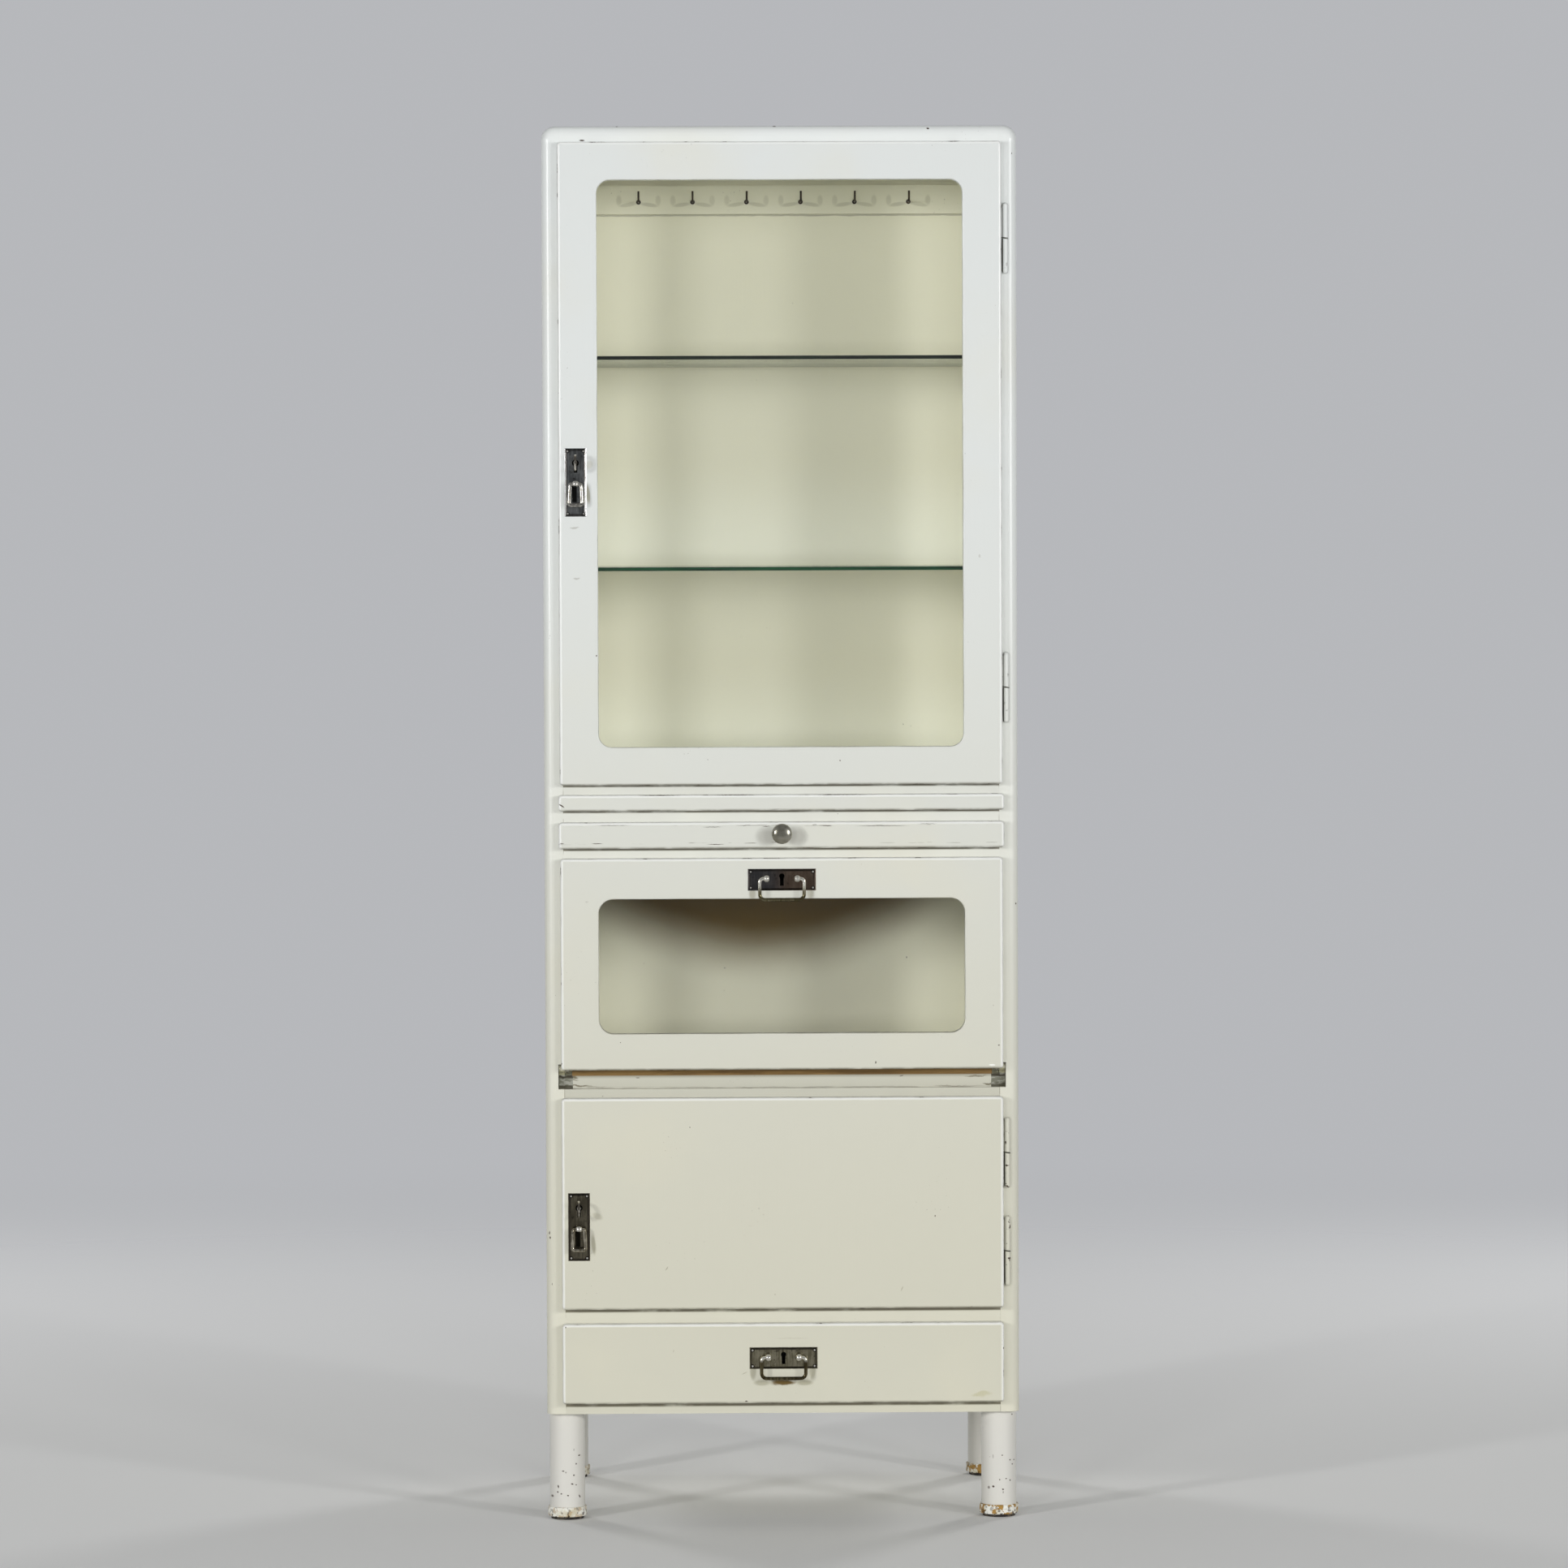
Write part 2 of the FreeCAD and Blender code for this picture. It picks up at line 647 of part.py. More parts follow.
legs, ferrules, glides = [], [], []
for side in (-1, 1):
    x = leg_side if side > 0 else f"-{leg_side}"
    for y, tenon in zip((leg_front, leg_back), tenons(side, "leg_tenon")):
        seat = (x, y, "dims.glide_height")
        post = rod("leg_post", "z", seat, "dims.leg_radius", "dims.leg_height - dims.glide_height")
        legs.append(join("leg", [post, tenon]))
        ring = new_body("ferrule", seat)
        wall = ("dims.leg_radius", "dims.leg_radius + dims.ferrule_wall")
        turned(ring, rectangle(ring, "XZ_Plane", wall, ("0", "dims.ferrule_height")))
        rims = [f"Edge{number}" for number, edge in enumerate(ring.Tip.Shape.Edges, start=1)
                if abs(edge.BoundBox.XMax - size("leg_radius") - size("ferrule_wall")) < near
                and edge.BoundBox.ZLength < near]
        rounded(ring, rims, "dims.ferrule_round")
        ferrules.append(ring)
        glides.append(rod("glide", "z", (x, y, "0"), "dims.glide_radius", "dims.glide_height"))
keep("legs", group("legs", legs))
keep("leg_ferrules", group("leg_ferrules", ferrules))
keep("leg_glides", group("leg_glides", glides))


# Hinges: the lower knuckle and its pin stay on the side, the upper one lifts off with the door

def frame_leaf(z):
    dome_z = f"{z} - dims.hinge_height / 2 + dims.barrel_radius"
    barrel = rod("barrel", "z", (hinge_x, hinge_y, dome_z), "dims.barrel_radius",
                 "dims.hinge_height / 2 - dims.barrel_radius - dims.hinge_split / 2")
    dome = ball("dome", (hinge_x, hinge_y, dome_z), "dims.barrel_radius")
    pin = rod("pin", "z", (hinge_x, hinge_y, dome_z), "dims.pin_radius",
              "dims.hinge_height / 2 - dims.barrel_radius + dims.pin_reach")
    neck = block("neck", (f"{hinge_x} - dims.neck_thickness / 2", f"{hinge_x} + dims.neck_thickness / 2"),
                 (hinge_y, front), frame_leaf_z(z))
    leaf = block("leaf", leaf_x, (front, f"{front} + dims.leaf_thickness"), frame_leaf_z(z))
    return join("frame_leaf", [barrel, dome, pin, neck, leaf])


door_leaf_x = (f"{half_front} - dims.leaf_thickness", half_front)
door_leaf_y = (f"{hinge_y} - dims.leaf_width / 2", f"{hinge_y} + dims.leaf_width / 2")


def door_leaf_z(z):
    low = f"{z} + dims.hinge_split / 2"
    return (low, f"{low} + dims.leaf_height")


def door_leaf(z):
    start = f"{z} + dims.hinge_split / 2"
    length = "dims.hinge_height / 2 - dims.barrel_radius - dims.hinge_split / 2"
    barrel = rod("barrel", "z", (hinge_x, hinge_y, start), "dims.barrel_radius", length)
    dome = ball("dome", (hinge_x, hinge_y, f"{start} + {length}"), "dims.barrel_radius")
    neck_y = (f"{hinge_y} - dims.neck_thickness / 2", f"{hinge_y} + dims.neck_thickness / 2")
    neck = block("neck", (half_front, f"{hinge_x} - dims.pin_radius - dims.hinge_edge_gap / 2"), neck_y,
                 door_leaf_z(z))
    leaf = block("leaf", door_leaf_x, door_leaf_y, door_leaf_z(z))
    bore = rod("bore", "z", (hinge_x, hinge_y, start), "dims.pin_radius + dims.running_gap",
               "dims.pin_reach + dims.hinge_edge_gap")
    return cut("door_leaf", join("door_leaf_blank", [barrel, dome, neck, leaf]), [bore])


frame_leaves = [frame_leaf(z) for z in upper_hinges + lower_hinges]
keep("hinge_frame_leaves", group("hinge_frame_leaves", frame_leaves))


# Fronts: a proud lip with rounded edges, and a part that reaches into the opening

def front_blank(label, lap_name, low, height_name, round_name, opening=None):
    """A lip that laps the opening, and behind it a part a little smaller than the opening."""
    body = new_body(label, ("0", lip_back, low))
    half_width = f"({inside} + dims.{lap_name})"
    lip = rectangle(body, "XZ_Plane", (f"-{half_width}", half_width), ("0", f"dims.{height_name}"))
    feature(body, "Pad", lip, "dims.front_proud")
    reach = size("width") / 2 - size("side_thickness") + size(lap_name)
    for x in (-reach, reach):
        for z in (0, size(height_name)):
            rounded(body, picked(body, x=x, z=z), "dims.front_corner_round")
    rounded(body, picked(body, y=-size("front_proud")), f"dims.{round_name}")
    if opening:
        rise = (f"{opening[0]} - {low} + dims.rebate_clearance",
                f"{opening[1]} - {low} - dims.rebate_clearance")
        inner = rectangle(body, "XZ_Plane", (f"-{half_rebate}", half_rebate), rise)
        feature(body, "Pad", inner, "dims.front_gap + dims.rebate_depth", backwards=True)
    return body


def window(body, stile, low_rail, high_rail, height_name, round_name):
    """A window with round corners, and the rebate behind it that holds the glass."""
    half = f"({half_front} - dims.{stile})"
    rise = (f"dims.{low_rail}", f"dims.{height_name} - dims.{high_rail}")
    back_offset = "-dims.front_gap - dims.rebate_depth"
    through = "dims.front_proud + dims.front_gap + dims.rebate_depth"
    drawing = rectangle(body, "XZ_Plane", (f"-{half}", half), rise, back_offset)
    feature(body, "Pocket", drawing, through, backwards=True)
    half_number = size("width") / 2 - size("side_thickness") + size("front_lap") - size(stile)
    for x in (-half_number, half_number):
        for z in (size(low_rail), size(height_name) - size(high_rail)):
            rounded(body, picked(body, x=x, z=z), f"dims.{round_name}")
    sight = FreeCAD.BoundBox(-half_number, -size("front_proud"), size(low_rail),
                             half_number, -size("front_proud"), size(height_name) - size(high_rail))
    sight.enlarge(near)
    edges = enumerate(body.Tip.Shape.Edges, start=1)
    inner_loop = [f"Edge{number}" for number, edge in edges if sight.isInside(edge.BoundBox)]
    rounded(body, inner_loop, "dims.window_edge_round")
    wide = f"({half} + dims.glass_lap)"
    seat_z = (f"{rise[0]} - dims.glass_lap", f"{rise[1]} + dims.glass_lap")
    seat = rectangle(body, "XZ_Plane", (f"-{wide}", wide), seat_z, back_offset)
    feature(body, "Pocket", seat, "dims.glass_thickness + dims.bead_depth", backwards=True)


def glazing(prefix, stile, low, high, low_rail, high_rail):
    """The pane and the four beads that hold it in its rebate."""
    wide = f"({half_front} - dims.{stile} + dims.glass_lap)"
    seat_low = f"({low} + dims.{low_rail} - dims.glass_lap)"
    seat_high = f"({high} - dims.{high_rail} + dims.glass_lap)"
    bead_front = f"({rebate_back} - dims.bead_depth)"
    pane_y = (f"{bead_front} - dims.glass_thickness", bead_front)
    pane_x = (f"-{wide} + dims.glass_clearance", f"{wide} - dims.glass_clearance")
    pane_z = (f"{seat_low} + dims.glass_clearance", f"{seat_high} - dims.glass_clearance")
    keep(f"{prefix}_glass", block(f"{prefix}_glass", pane_x, pane_y, pane_z))
    bead_y = (bead_front, rebate_back)
    upright_z = (f"{seat_low} + dims.bead_width", f"{seat_high} - dims.bead_width")
    upright_x = (f"{wide} - dims.bead_width", wide)
    beads = [block("bead", across(side, *upright_x), bead_y, upright_z) for side in (-1, 1)]
    beads.append(block("bead", (f"-{wide}", wide), bead_y, (seat_low, f"{seat_low} + dims.bead_width")))
    beads.append(block("bead", (f"-{wide}", wide), bead_y, (f"{seat_high} - dims.bead_width", seat_high)))
    keep(f"{prefix}_beads", group(f"{prefix}_beads", beads))


def keyhole(x, z, y_front, y_back):
    """Cutters for a round hole with a slot under it."""
    hole = rod("keyhole", "y", (x, y_front, z), "dims.keyhole_radius", f"{y_back} - {y_front}")
    slot_x = (f"{x} - dims.keyhole_slot_width / 2", f"{x} + dims.keyhole_slot_width / 2")
    slot = block("keyhole_slot", slot_x, (y_front, y_back), (f"{z} - dims.keyhole_slot_drop", z))
    return [hole, slot]


def lock_plate(label, x, z, upright, posts, key_z, rise, reach, head_radius, rod_radius):
    """Bevelled plate with nails at its corners, a keyhole, and the bored posts of its handle."""
    long_side, short_side = "dims.plate_length", "dims.plate_width"
    wide, tall = (short_side, long_side) if upright else (long_side, short_side)
    body = new_body(f"{label}_blank", (x, face, z))
    edges = ((f"-{wide} / 2", f"{wide} / 2"), (f"-{tall} / 2", f"{tall} / 2"))
    flat = "dims.plate_thickness - dims.plate_bevel_depth"
    feature(body, "Pad", rectangle(body, "XZ_Plane", *edges), flat)
    bevel = feature(body, "Pad", rectangle(body, "XZ_Plane", *edges, flat), "dims.plate_bevel_depth")
    bevel.setExpression("TaperAngle", "-atan(dims.plate_bevel / dims.plate_bevel_depth)")
    pieces = [body]
    for side in (-1, 1):
        for end in (-1, 1):
            at = (f"{x} + {side} * ({wide} / 2 - dims.nail_inset)", f"{plate_face} - dims.nail_reach",
                  f"{z} + {end} * ({tall} / 2 - dims.nail_inset)")
            pieces.append(rod("nail", "y", at, "dims.nail_radius", "dims.nail_reach + dims.plate_thickness"))
    bores = []
    for post_x in posts:
        axis_y = f"({plate_face} - {reach})"
        pieces.append(rod("post", "y", (post_x, axis_y, f"{z} + {rise}"), "dims.post_radius", reach))
        pieces.append(ball("post_head", (post_x, axis_y, f"{z} + {rise}"), head_radius))
        bores.append(rod("post_bore", "x", (f"{post_x} - {head_radius}", axis_y, f"{z} + {rise}"),
                         f"{rod_radius} + dims.running_gap", f"2 * {head_radius}"))
    made = cut(f"{label}_cut", join(f"{label}_joined", pieces), bores + keyhole(x, key_z, plate_face, face))
    return keep(label, made)


def door_lock(prefix, z, key_z):
    """Lock let into the back of a door, its bolt, and the key in it."""
    case_x = (f"-{half_rebate}", f"-{half_rebate} + dims.door_lock_width")
    case_z = (f"{z} - dims.door_lock_height / 2", f"{z} + dims.door_lock_height / 2")
    shell = block("case", case_x, (case_front, rebate_back), case_z)
    hollow = block("hollow", (f"{case_x[0]} + dims.lock_wall", f"{case_x[1]} - dims.lock_wall"),
                   (f"{case_front} + dims.lock_wall", f"{rebate_back} - dims.lock_wall"),
                   (f"{case_z[0]} + dims.lock_wall", f"{case_z[1]} - dims.lock_wall"))
    slot = block("bolt_slot", (case_x[0], f"{case_x[0]} + dims.lock_wall"), bolt_slot_y,
                 (f"{z} - {half_bolt_slot}", f"{z} + {half_bolt_slot}"))
    hole = keyhole(door_plate_x, key_z, case_front, f"{case_front} + dims.lock_wall")
    keep(f"{prefix}_lock_case", cut(f"{prefix}_case_cut", shell, [hollow, slot] + hole))
    bolt_start = f"(-{half_rebate} + dims.bolt_fit)"
    keep(f"{prefix}_bolt", block(f"{prefix}_bolt", (bolt_start, f"{bolt_start} + dims.bolt_length"), bolt_y,
                                 (f"{z} - dims.bolt_width / 2", f"{z} + dims.bolt_width / 2")))
    tip = f"({front} + dims.key_tip_back)"
    bow_y = f"({plate_face} - dims.key_reach + dims.key_bow_radius)"
    half_bow = "dims.key_bow_thickness / 2"
    stem = rod("key_stem", "y", (door_plate_x, bow_y, key_z), "dims.key_stem_radius", f"{tip} - {bow_y}")
    bow = rod("key_bow", "x", (f"{door_plate_x} - {half_bow}", bow_y, key_z), "dims.key_bow_radius",
              "dims.key_bow_thickness")
    eye = rod("key_eye", "x", (f"{door_plate_x} - {half_bow} - dims.key_stem_radius", bow_y, key_z),
              "dims.key_bow_hole", "dims.key_bow_thickness + 2 * dims.key_stem_radius")
    bit_x = (f"{door_plate_x} - dims.key_bit_thickness / 2", f"{door_plate_x} + dims.key_bit_thickness / 2")
    bit_z = (f"{key_z} - dims.key_bit_drop", key_z)
    bit = block("key_bit", bit_x, (f"{tip} - dims.key_bit_length", tip), bit_z)
    ring = cut("key_ring", join("key_blank", [stem, bow]), [eye])
    keep(f"{prefix}_key", join(f"{prefix}_key", [ring, bit]))
    bed = block("case_bed", case_x, (case_front, rebate_back), case_z)
    return [bed] + keyhole(door_plate_x, key_z, face, case_front)


def wide_lock(prefix, key_z, high):
    """Lock let into the top edge of the flap or drawer front, with a bolt that rises."""
    case_x = ("-dims.wide_lock_width / 2", "dims.wide_lock_width / 2")
    case_z = (f"{key_z} - dims.wide_lock_below_key", high)
    shell = block("case", case_x, (case_front, rebate_back), case_z)
    hollow = block("hollow", (f"{case_x[0]} + dims.lock_wall", f"{case_x[1]} - dims.lock_wall"),
                   (f"{case_front} + dims.lock_wall", f"{rebate_back} - dims.lock_wall"),
                   (f"{case_z[0]} + dims.lock_wall", f"{high} - dims.lock_wall"))
    slot = block("bolt_slot", (f"-{half_bolt_slot}", half_bolt_slot), bolt_slot_y,
                 (f"{high} - dims.lock_wall", high))
    hole = keyhole("0", key_z, case_front, f"{case_front} + dims.lock_wall")
    keep(f"{prefix}_lock_case", cut(f"{prefix}_case_cut", shell, [hollow, slot] + hole))
    bolt_top = f"({high} - dims.bolt_fit)"
    keep(f"{prefix}_bolt", block(f"{prefix}_bolt", ("-dims.bolt_width / 2", "dims.bolt_width / 2"), bolt_y,
                                 (f"{bolt_top} - dims.bolt_length", bolt_top)))
    bed = block("case_bed", case_x, (case_front, rebate_back), case_z)
    return [bed] + keyhole("0", key_z, face, case_front)


def leaf_beds(hinges):
    return [block("leaf_bed", door_leaf_x, door_leaf_y, door_leaf_z(z)) for z in hinges]


def ring_pull(prefix, z):
    top_half, bottom_half = size("pull_top_half"), size("pull_bottom_half")
    drop = size("pull_drop")
    corners = [Vector(-top_half, 0, 0), Vector(top_half, 0, 0), Vector(bottom_half, 0, -drop),
               Vector(-bottom_half, 0, -drop)]
    bends = {i: "pull_bend" for i in range(len(corners))}
    pull = bent_rod(f"{prefix}_pull", corners, bends, "pull_rod_radius", closed=True)
    axis_y = f"({plate_face} - dims.pull_reach)"
    keep(f"{prefix}_pull", place(pull, (door_plate_x, axis_y, f"{z} - dims.pull_pivot_drop")))


def bail(prefix, z):
    """Handle whose two ends turn inwards into the posts."""
    end = (size("post_spacing") - size("post_head_radius")) / 2
    half, drop = size("bail_half_width"), size("bail_drop")
    corners = [Vector(-end, 0, 0), Vector(-half, 0, 0), Vector(-half, 0, -drop),
               Vector(half, 0, -drop), Vector(half, 0, 0), Vector(end, 0, 0)]
    bends = {1: "bail_shoulder_bend", 2: "bail_corner_bend", 3: "bail_corner_bend", 4: "bail_shoulder_bend"}
    handle = bent_rod(f"{prefix}_bail", corners, bends, "bail_rod_radius")
    axis_y = f"({plate_face} - dims.post_reach)"
    keep(f"{prefix}_bail", place(handle, ("0", axis_y, f"{z} + dims.post_rise")))


def door_plate(label, z):
    lock_plate(label, door_plate_x, z, True, [door_plate_x], f"({z} + dims.door_key_rise)",
               "(-dims.pull_pivot_drop)", "dims.pull_reach", "dims.pull_head_radius", "dims.pull_rod_radius")


def wide_plate(label, z):
    posts = ["(-dims.post_spacing / 2)", "(dims.post_spacing / 2)"]
    lock_plate(label, "0", z, False, posts, f"({z} + dims.wide_key_rise)", "dims.post_rise",
               "dims.post_reach", "dims.post_head_radius", "dims.bail_rod_radius")


# Upper glazed door
upper_body = front_blank("upper_door_body", "front_lap", upper_door_low, "upper_door_height",
                         "front_edge_round", (upper_floor_span[1], ceiling))
window(upper_body, "door_stile", "door_rail", "door_rail", "upper_door_height", "door_window_round")
upper_key_z = f"({upper_lock_z} + dims.door_key_rise)"
upper_beds = door_lock("upper_door", upper_lock_z, upper_key_z) + leaf_beds(upper_hinges)
keep("upper_door_frame", cut("upper_door_cut", upper_body, upper_beds))
glazing("upper_door", "door_stile", upper_door_low, upper_door_high, "door_rail", "door_rail")
door_plate("upper_door_lock_plate", upper_lock_z)
ring_pull("upper_door", upper_lock_z)
keep("upper_door_hinge_leaves", group("upper_door_hinge_leaves", [door_leaf(z) for z in upper_hinges]))

# Lower solid door
lower_body = front_blank("lower_door_body", "front_lap", lower_door_low, "lower_door_height",
                         "front_edge_round", (lower_floor_span[1], flap_floor_span[0]))
lower_key_z = f"({lower_lock_z} + dims.door_key_rise)"
lower_beds = door_lock("lower_door", lower_lock_z, lower_key_z) + leaf_beds(lower_hinges)
keep("lower_door_panel", cut("lower_door_cut", lower_body, lower_beds))
door_plate("lower_door_lock_plate", lower_lock_z)
ring_pull("lower_door", lower_lock_z)
keep("lower_door_hinge_leaves", group("lower_door_hinge_leaves", [door_leaf(z) for z in lower_hinges]))

# Pull-out board: its front strip stands proud, its panel slides over the board shelf
strip = front_blank("board_strip", "slide_lap", board_low, "board_front_height", "strip_edge_round")
half_slider = f"({inside} - dims.slide_clearance)"
panel = block("board_panel", (f"-{half_slider}", half_slider), (lip_back, f"{back_face} - dims.board_back_gap"),
              (f"{board_shelf_span[1]} + dims.seat_gap", f"{upper_floor_span[0]} - dims.board_head_gap"))
keep("pull_out_board", join("pull_out_board", [strip, panel]))

# Shallow tray with a knob
tray_lip = front_blank("tray_front_body", "slide_lap", tray_low, "tray_front_height", "front_edge_round")
keep("tray_front", tray_lip)
tray_floor = f"({tray_shelf_span[1]} + dims.seat_gap)"
tray_rim_high = f"({board_shelf_span[0]} - dims.tray_head_gap)"
tray_bottom_z = (f"({tray_floor} + dims.tray_bottom_rise)",
                 f"({tray_floor} + dims.tray_bottom_rise + dims.tray_bottom_thickness)")
tray_back = f"({back_face} - dims.tray_back_gap)"
tray_inner = f"({half_slider} - dims.tray_side_thickness)"
half_tray_bottom = f"({tray_inner} + dims.groove_depth)"
tray_y = (lip_back, tray_back)
rims = []
for side in (-1, 1):
    wall = block("tray_side", across(side, tray_inner, half_slider), tray_y, (tray_floor, tray_rim_high))
    groove = block("tray_groove", across(side, tray_inner, half_tray_bottom), tray_y, tray_bottom_z)
    rims.append(cut("tray_side_cut", wall, [groove]))
tray_back_y = (f"{tray_back} - dims.tray_side_thickness", tray_back)
tray_back_z = (tray_bottom_z[1], tray_rim_high)
rims.append(block("tray_back", (f"-{tray_inner}", tray_inner), tray_back_y, tray_back_z))
keep("tray_rim", group("tray_rim", rims))
tray_bottom_x = (f"-{half_tray_bottom}", half_tray_bottom)
keep("tray_bottom", block("tray_bottom", tray_bottom_x, tray_y, tray_bottom_z))

knob_z = f"(({tray_low} + {tray_high}) / 2 + dims.knob_raise)"
knob_stem = new_body("knob_stem", ("0", face, knob_z))
stem_points = [("0", "0"), ("dims.knob_foot_radius", "0"), ("dims.knob_foot_radius", "-dims.knob_foot / 2"),
               ("dims.knob_neck_radius", "-dims.knob_foot"),
               ("dims.knob_neck_radius", "-dims.knob_reach + dims.knob_dome"),
               ("0", "-dims.knob_reach + dims.knob_dome")]
turned(knob_stem, outline(knob_stem, "XY_Plane", stem_points))
knob_head = doc.addObject("Part::Ellipsoid", "knob_head")
knob_head.Placement = FreeCAD.Placement(Vector(), turns["y"])
knob_head.setExpression("Radius1", "dims.knob_dome")
knob_head.setExpression("Radius2", "dims.knob_radius")
place(knob_head, ("0", f"{face} - dims.knob_reach + dims.knob_dome", knob_z))
keep("tray_knob", join("tray_knob", [knob_stem, knob_head]))

# Glazed fall flap, its pivots and quadrant stays
flap_body = front_blank("flap_body", "front_lap", flap_low, "flap_height", "front_edge_round",
                        (f"({flap_low} - dims.rebate_clearance)", tray_shelf_span[0]))
window(flap_body, "flap_stile", "flap_bottom_rail", "flap_top_rail", "flap_height", "flap_window_round")
flap_key_z = f"({flap_lock_z} + dims.wide_key_rise)"
arm_x = (f"{half_rebate} - dims.pivot_arm_thickness", half_rebate)
arm_z = (flap_low, f"{pivot_z} + dims.pivot_arm_height")
arm_beds = [block("arm_bed", across(side, *arm_x), (lip_back, rebate_back), arm_z) for side in (-1, 1)]
keep("flap_frame", cut("flap_cut", flap_body, wide_lock("flap", flap_key_z, flap_rebate_high) + arm_beds))
glazing("flap", "flap_stile", flap_low, flap_high, "flap_bottom_rail", "flap_top_rail")
wide_plate("flap_lock_plate", flap_lock_z)
bail("flap", flap_lock_z)

arms, brackets, stays, keepers = [], [], [], []
quarter = Rotation(Vector(0, 0, 1), Vector(0, 1, 0), Vector(-1, 0, 0), "XYZ")
# The stay runs on past a right angle until its stop meets the back of the keeper
stay_angle = ("90deg + asin((dims.keeper_set_back + dims.keeper_length + dims.stay_stop_radius"
              " + dims.keeper_gap) / dims.stay_radius)")
ear_outer = f"({notch_side} - dims.notch_play / 2)"
ear_x = (f"({ear_outer} - dims.bracket_ear_width)", ear_outer)
for side in (-1, 1):
    arm_low, arm_high = across(side, *arm_x)
    pivot = (arm_low, pivot_y, pivot_z)
    shank_y = (f"{pivot_y} - dims.pivot_arm_width", pivot_y)
    thickness = "dims.pivot_arm_thickness"
    eye = rod("arm_eye", "x", pivot, "dims.pivot_eye_radius", thickness)
    shank = block("arm_shank", (arm_low, arm_high), shank_y, (pivot_z, arm_z[1]))
    bore = rod("arm_bore", "x", pivot, "dims.pivot_pin_radius + dims.running_gap", thickness)
    arms.append(cut("pivot_arm", join("arm_blank", [eye, shank]), [bore]))

    ear_low, ear_high = across(side, *ear_x)
    ear_at = (ear_low, pivot_y, pivot_z)
    ear = block("ear", (ear_low, ear_high), foot_y, (sill, pivot_z))
    ear_head = rod("ear_head", "x", ear_at, "dims.pivot_eye_radius", "dims.bracket_ear_width")
    pin_low, pin_high = across(side, arm_x[0], ear_x[1])
    pin_at = (pin_low, pivot_y, pivot_z)
    pin = rod("pivot_pin", "x", pin_at, "dims.pivot_pin_radius", f"{pin_high} - ({pin_low})")
    foot = block("foot", across(side, foot_inner, ear_x[1]), foot_y, step_z)
    brackets.append(join("pivot_bracket", [ear, ear_head, pin, foot]))

    stay_low, stay_high = across(side, *stay_x)
    sectors = []
    for name, radius in (("stay_outer", stay_outer), ("stay_inner", stay_inner)):
        sector = doc.addObject("Part::Cylinder", name)
        sector.Placement = FreeCAD.Placement(Vector(), quarter)
        sector.setExpression("Radius", radius)
        sector.setExpression("Height", "dims.stay_thickness")
        sector.setExpression("Angle", stay_angle)
        sectors.append(place(sector, (stay_high, pivot_y, pivot_z)))
    arc = cut("stay_arc", sectors[0], [sectors[1]])
    stop_y = f"{pivot_y} + dims.stay_radius * sin({stay_angle})"
    stop_z = f"{pivot_z} + dims.stay_radius * cos({stay_angle})"
    stop_low, stop_high = across(side, stay_x[0], f"{stay_x[1]} + dims.stay_stop_reach")
    stop_at = (stop_low, stop_y, stop_z)
    stop = rod("stay_stop", "x", stop_at, "dims.stay_stop_radius", f"{stop_high} - ({stop_low})")
    stay_foot = block("stay_foot", across(side, f"{stay_x[1]} - dims.stay_foot_width", stay_x[1]),
                      (pivot_y, f"{pivot_y} + dims.keeper_wall"),
                      (f"{pivot_z} + dims.stay_radius - dims.stay_foot_height / 2",
                       f"{pivot_z} + dims.stay_radius + dims.stay_foot_height / 2"))
    stays.append(join("stay", [arc, stop, stay_foot]))

    keeper_x = across(side, stay_x[0], inside)
    keeper_y = (keeper_front, keeper_back)
    upper_lug_low = f"{pivot_z} + {stay_outer} + dims.keeper_gap"
    reach_back = "(dims.keeper_set_back + dims.keeper_length)"
    lower_lug_high = f"{pivot_z} + sqrt({stay_inner} ^ 2 - {reach_back} ^ 2) - dims.keeper_gap"
    wall = "dims.keeper_wall"
    upper_lug = block("upper_lug", keeper_x, keeper_y, (upper_lug_low, f"{upper_lug_low} + {wall}"))
    lower_lug = block("lower_lug", keeper_x, keeper_y, (f"{lower_lug_high} - {wall}", lower_lug_high))
    web = block("keeper_web", across(side, f"{inside} - dims.keeper_wall / 2", inside), keeper_y,
                (f"{lower_lug_high} - {wall}", f"{upper_lug_low} + {wall}"))
    keepers.append(join("keeper", [upper_lug, lower_lug, web]))
keep("flap_pivot_arms", group("flap_pivot_arms", arms))
keep("flap_pivot_brackets", group("flap_pivot_brackets", brackets))
keep("flap_stays", group("flap_stays", stays))
keep("stay_keepers", group("stay_keepers", keepers))

# Drawer
drawer_body = front_blank("drawer_body", "front_lap", drawer_low, "drawer_front_height",
                          "front_edge_round", (bottom_high, lower_floor_span[0]))
drawer_key_z = f"({drawer_lock_z} + dims.wide_key_rise)"
keep("drawer_front", cut("drawer_cut", drawer_body, wide_lock("drawer", drawer_key_z, drawer_rebate_high)))
wide_plate("drawer_lock_plate", drawer_lock_z)
bail("drawer", drawer_lock_z)
drawer_floor = f"({bottom_high} + dims.seat_gap)"
drawer_rim_high = f"({lower_floor_span[0]} - dims.drawer_head_gap)"
drawer_inner = f"({half_rebate} - dims.drawer_side_thickness)"
drawer_back = f"({back_face} - dims.drawer_back_gap)"
drawer_y = (rebate_back, drawer_back)
drawer_bottom_z = (f"({drawer_floor} + dims.drawer_bottom_rise)",
                   f"({drawer_floor} + dims.drawer_bottom_rise + dims.drawer_bottom_thickness)")
half_drawer_bottom = f"({drawer_inner} + dims.groove_depth)"
drawer_sides = []
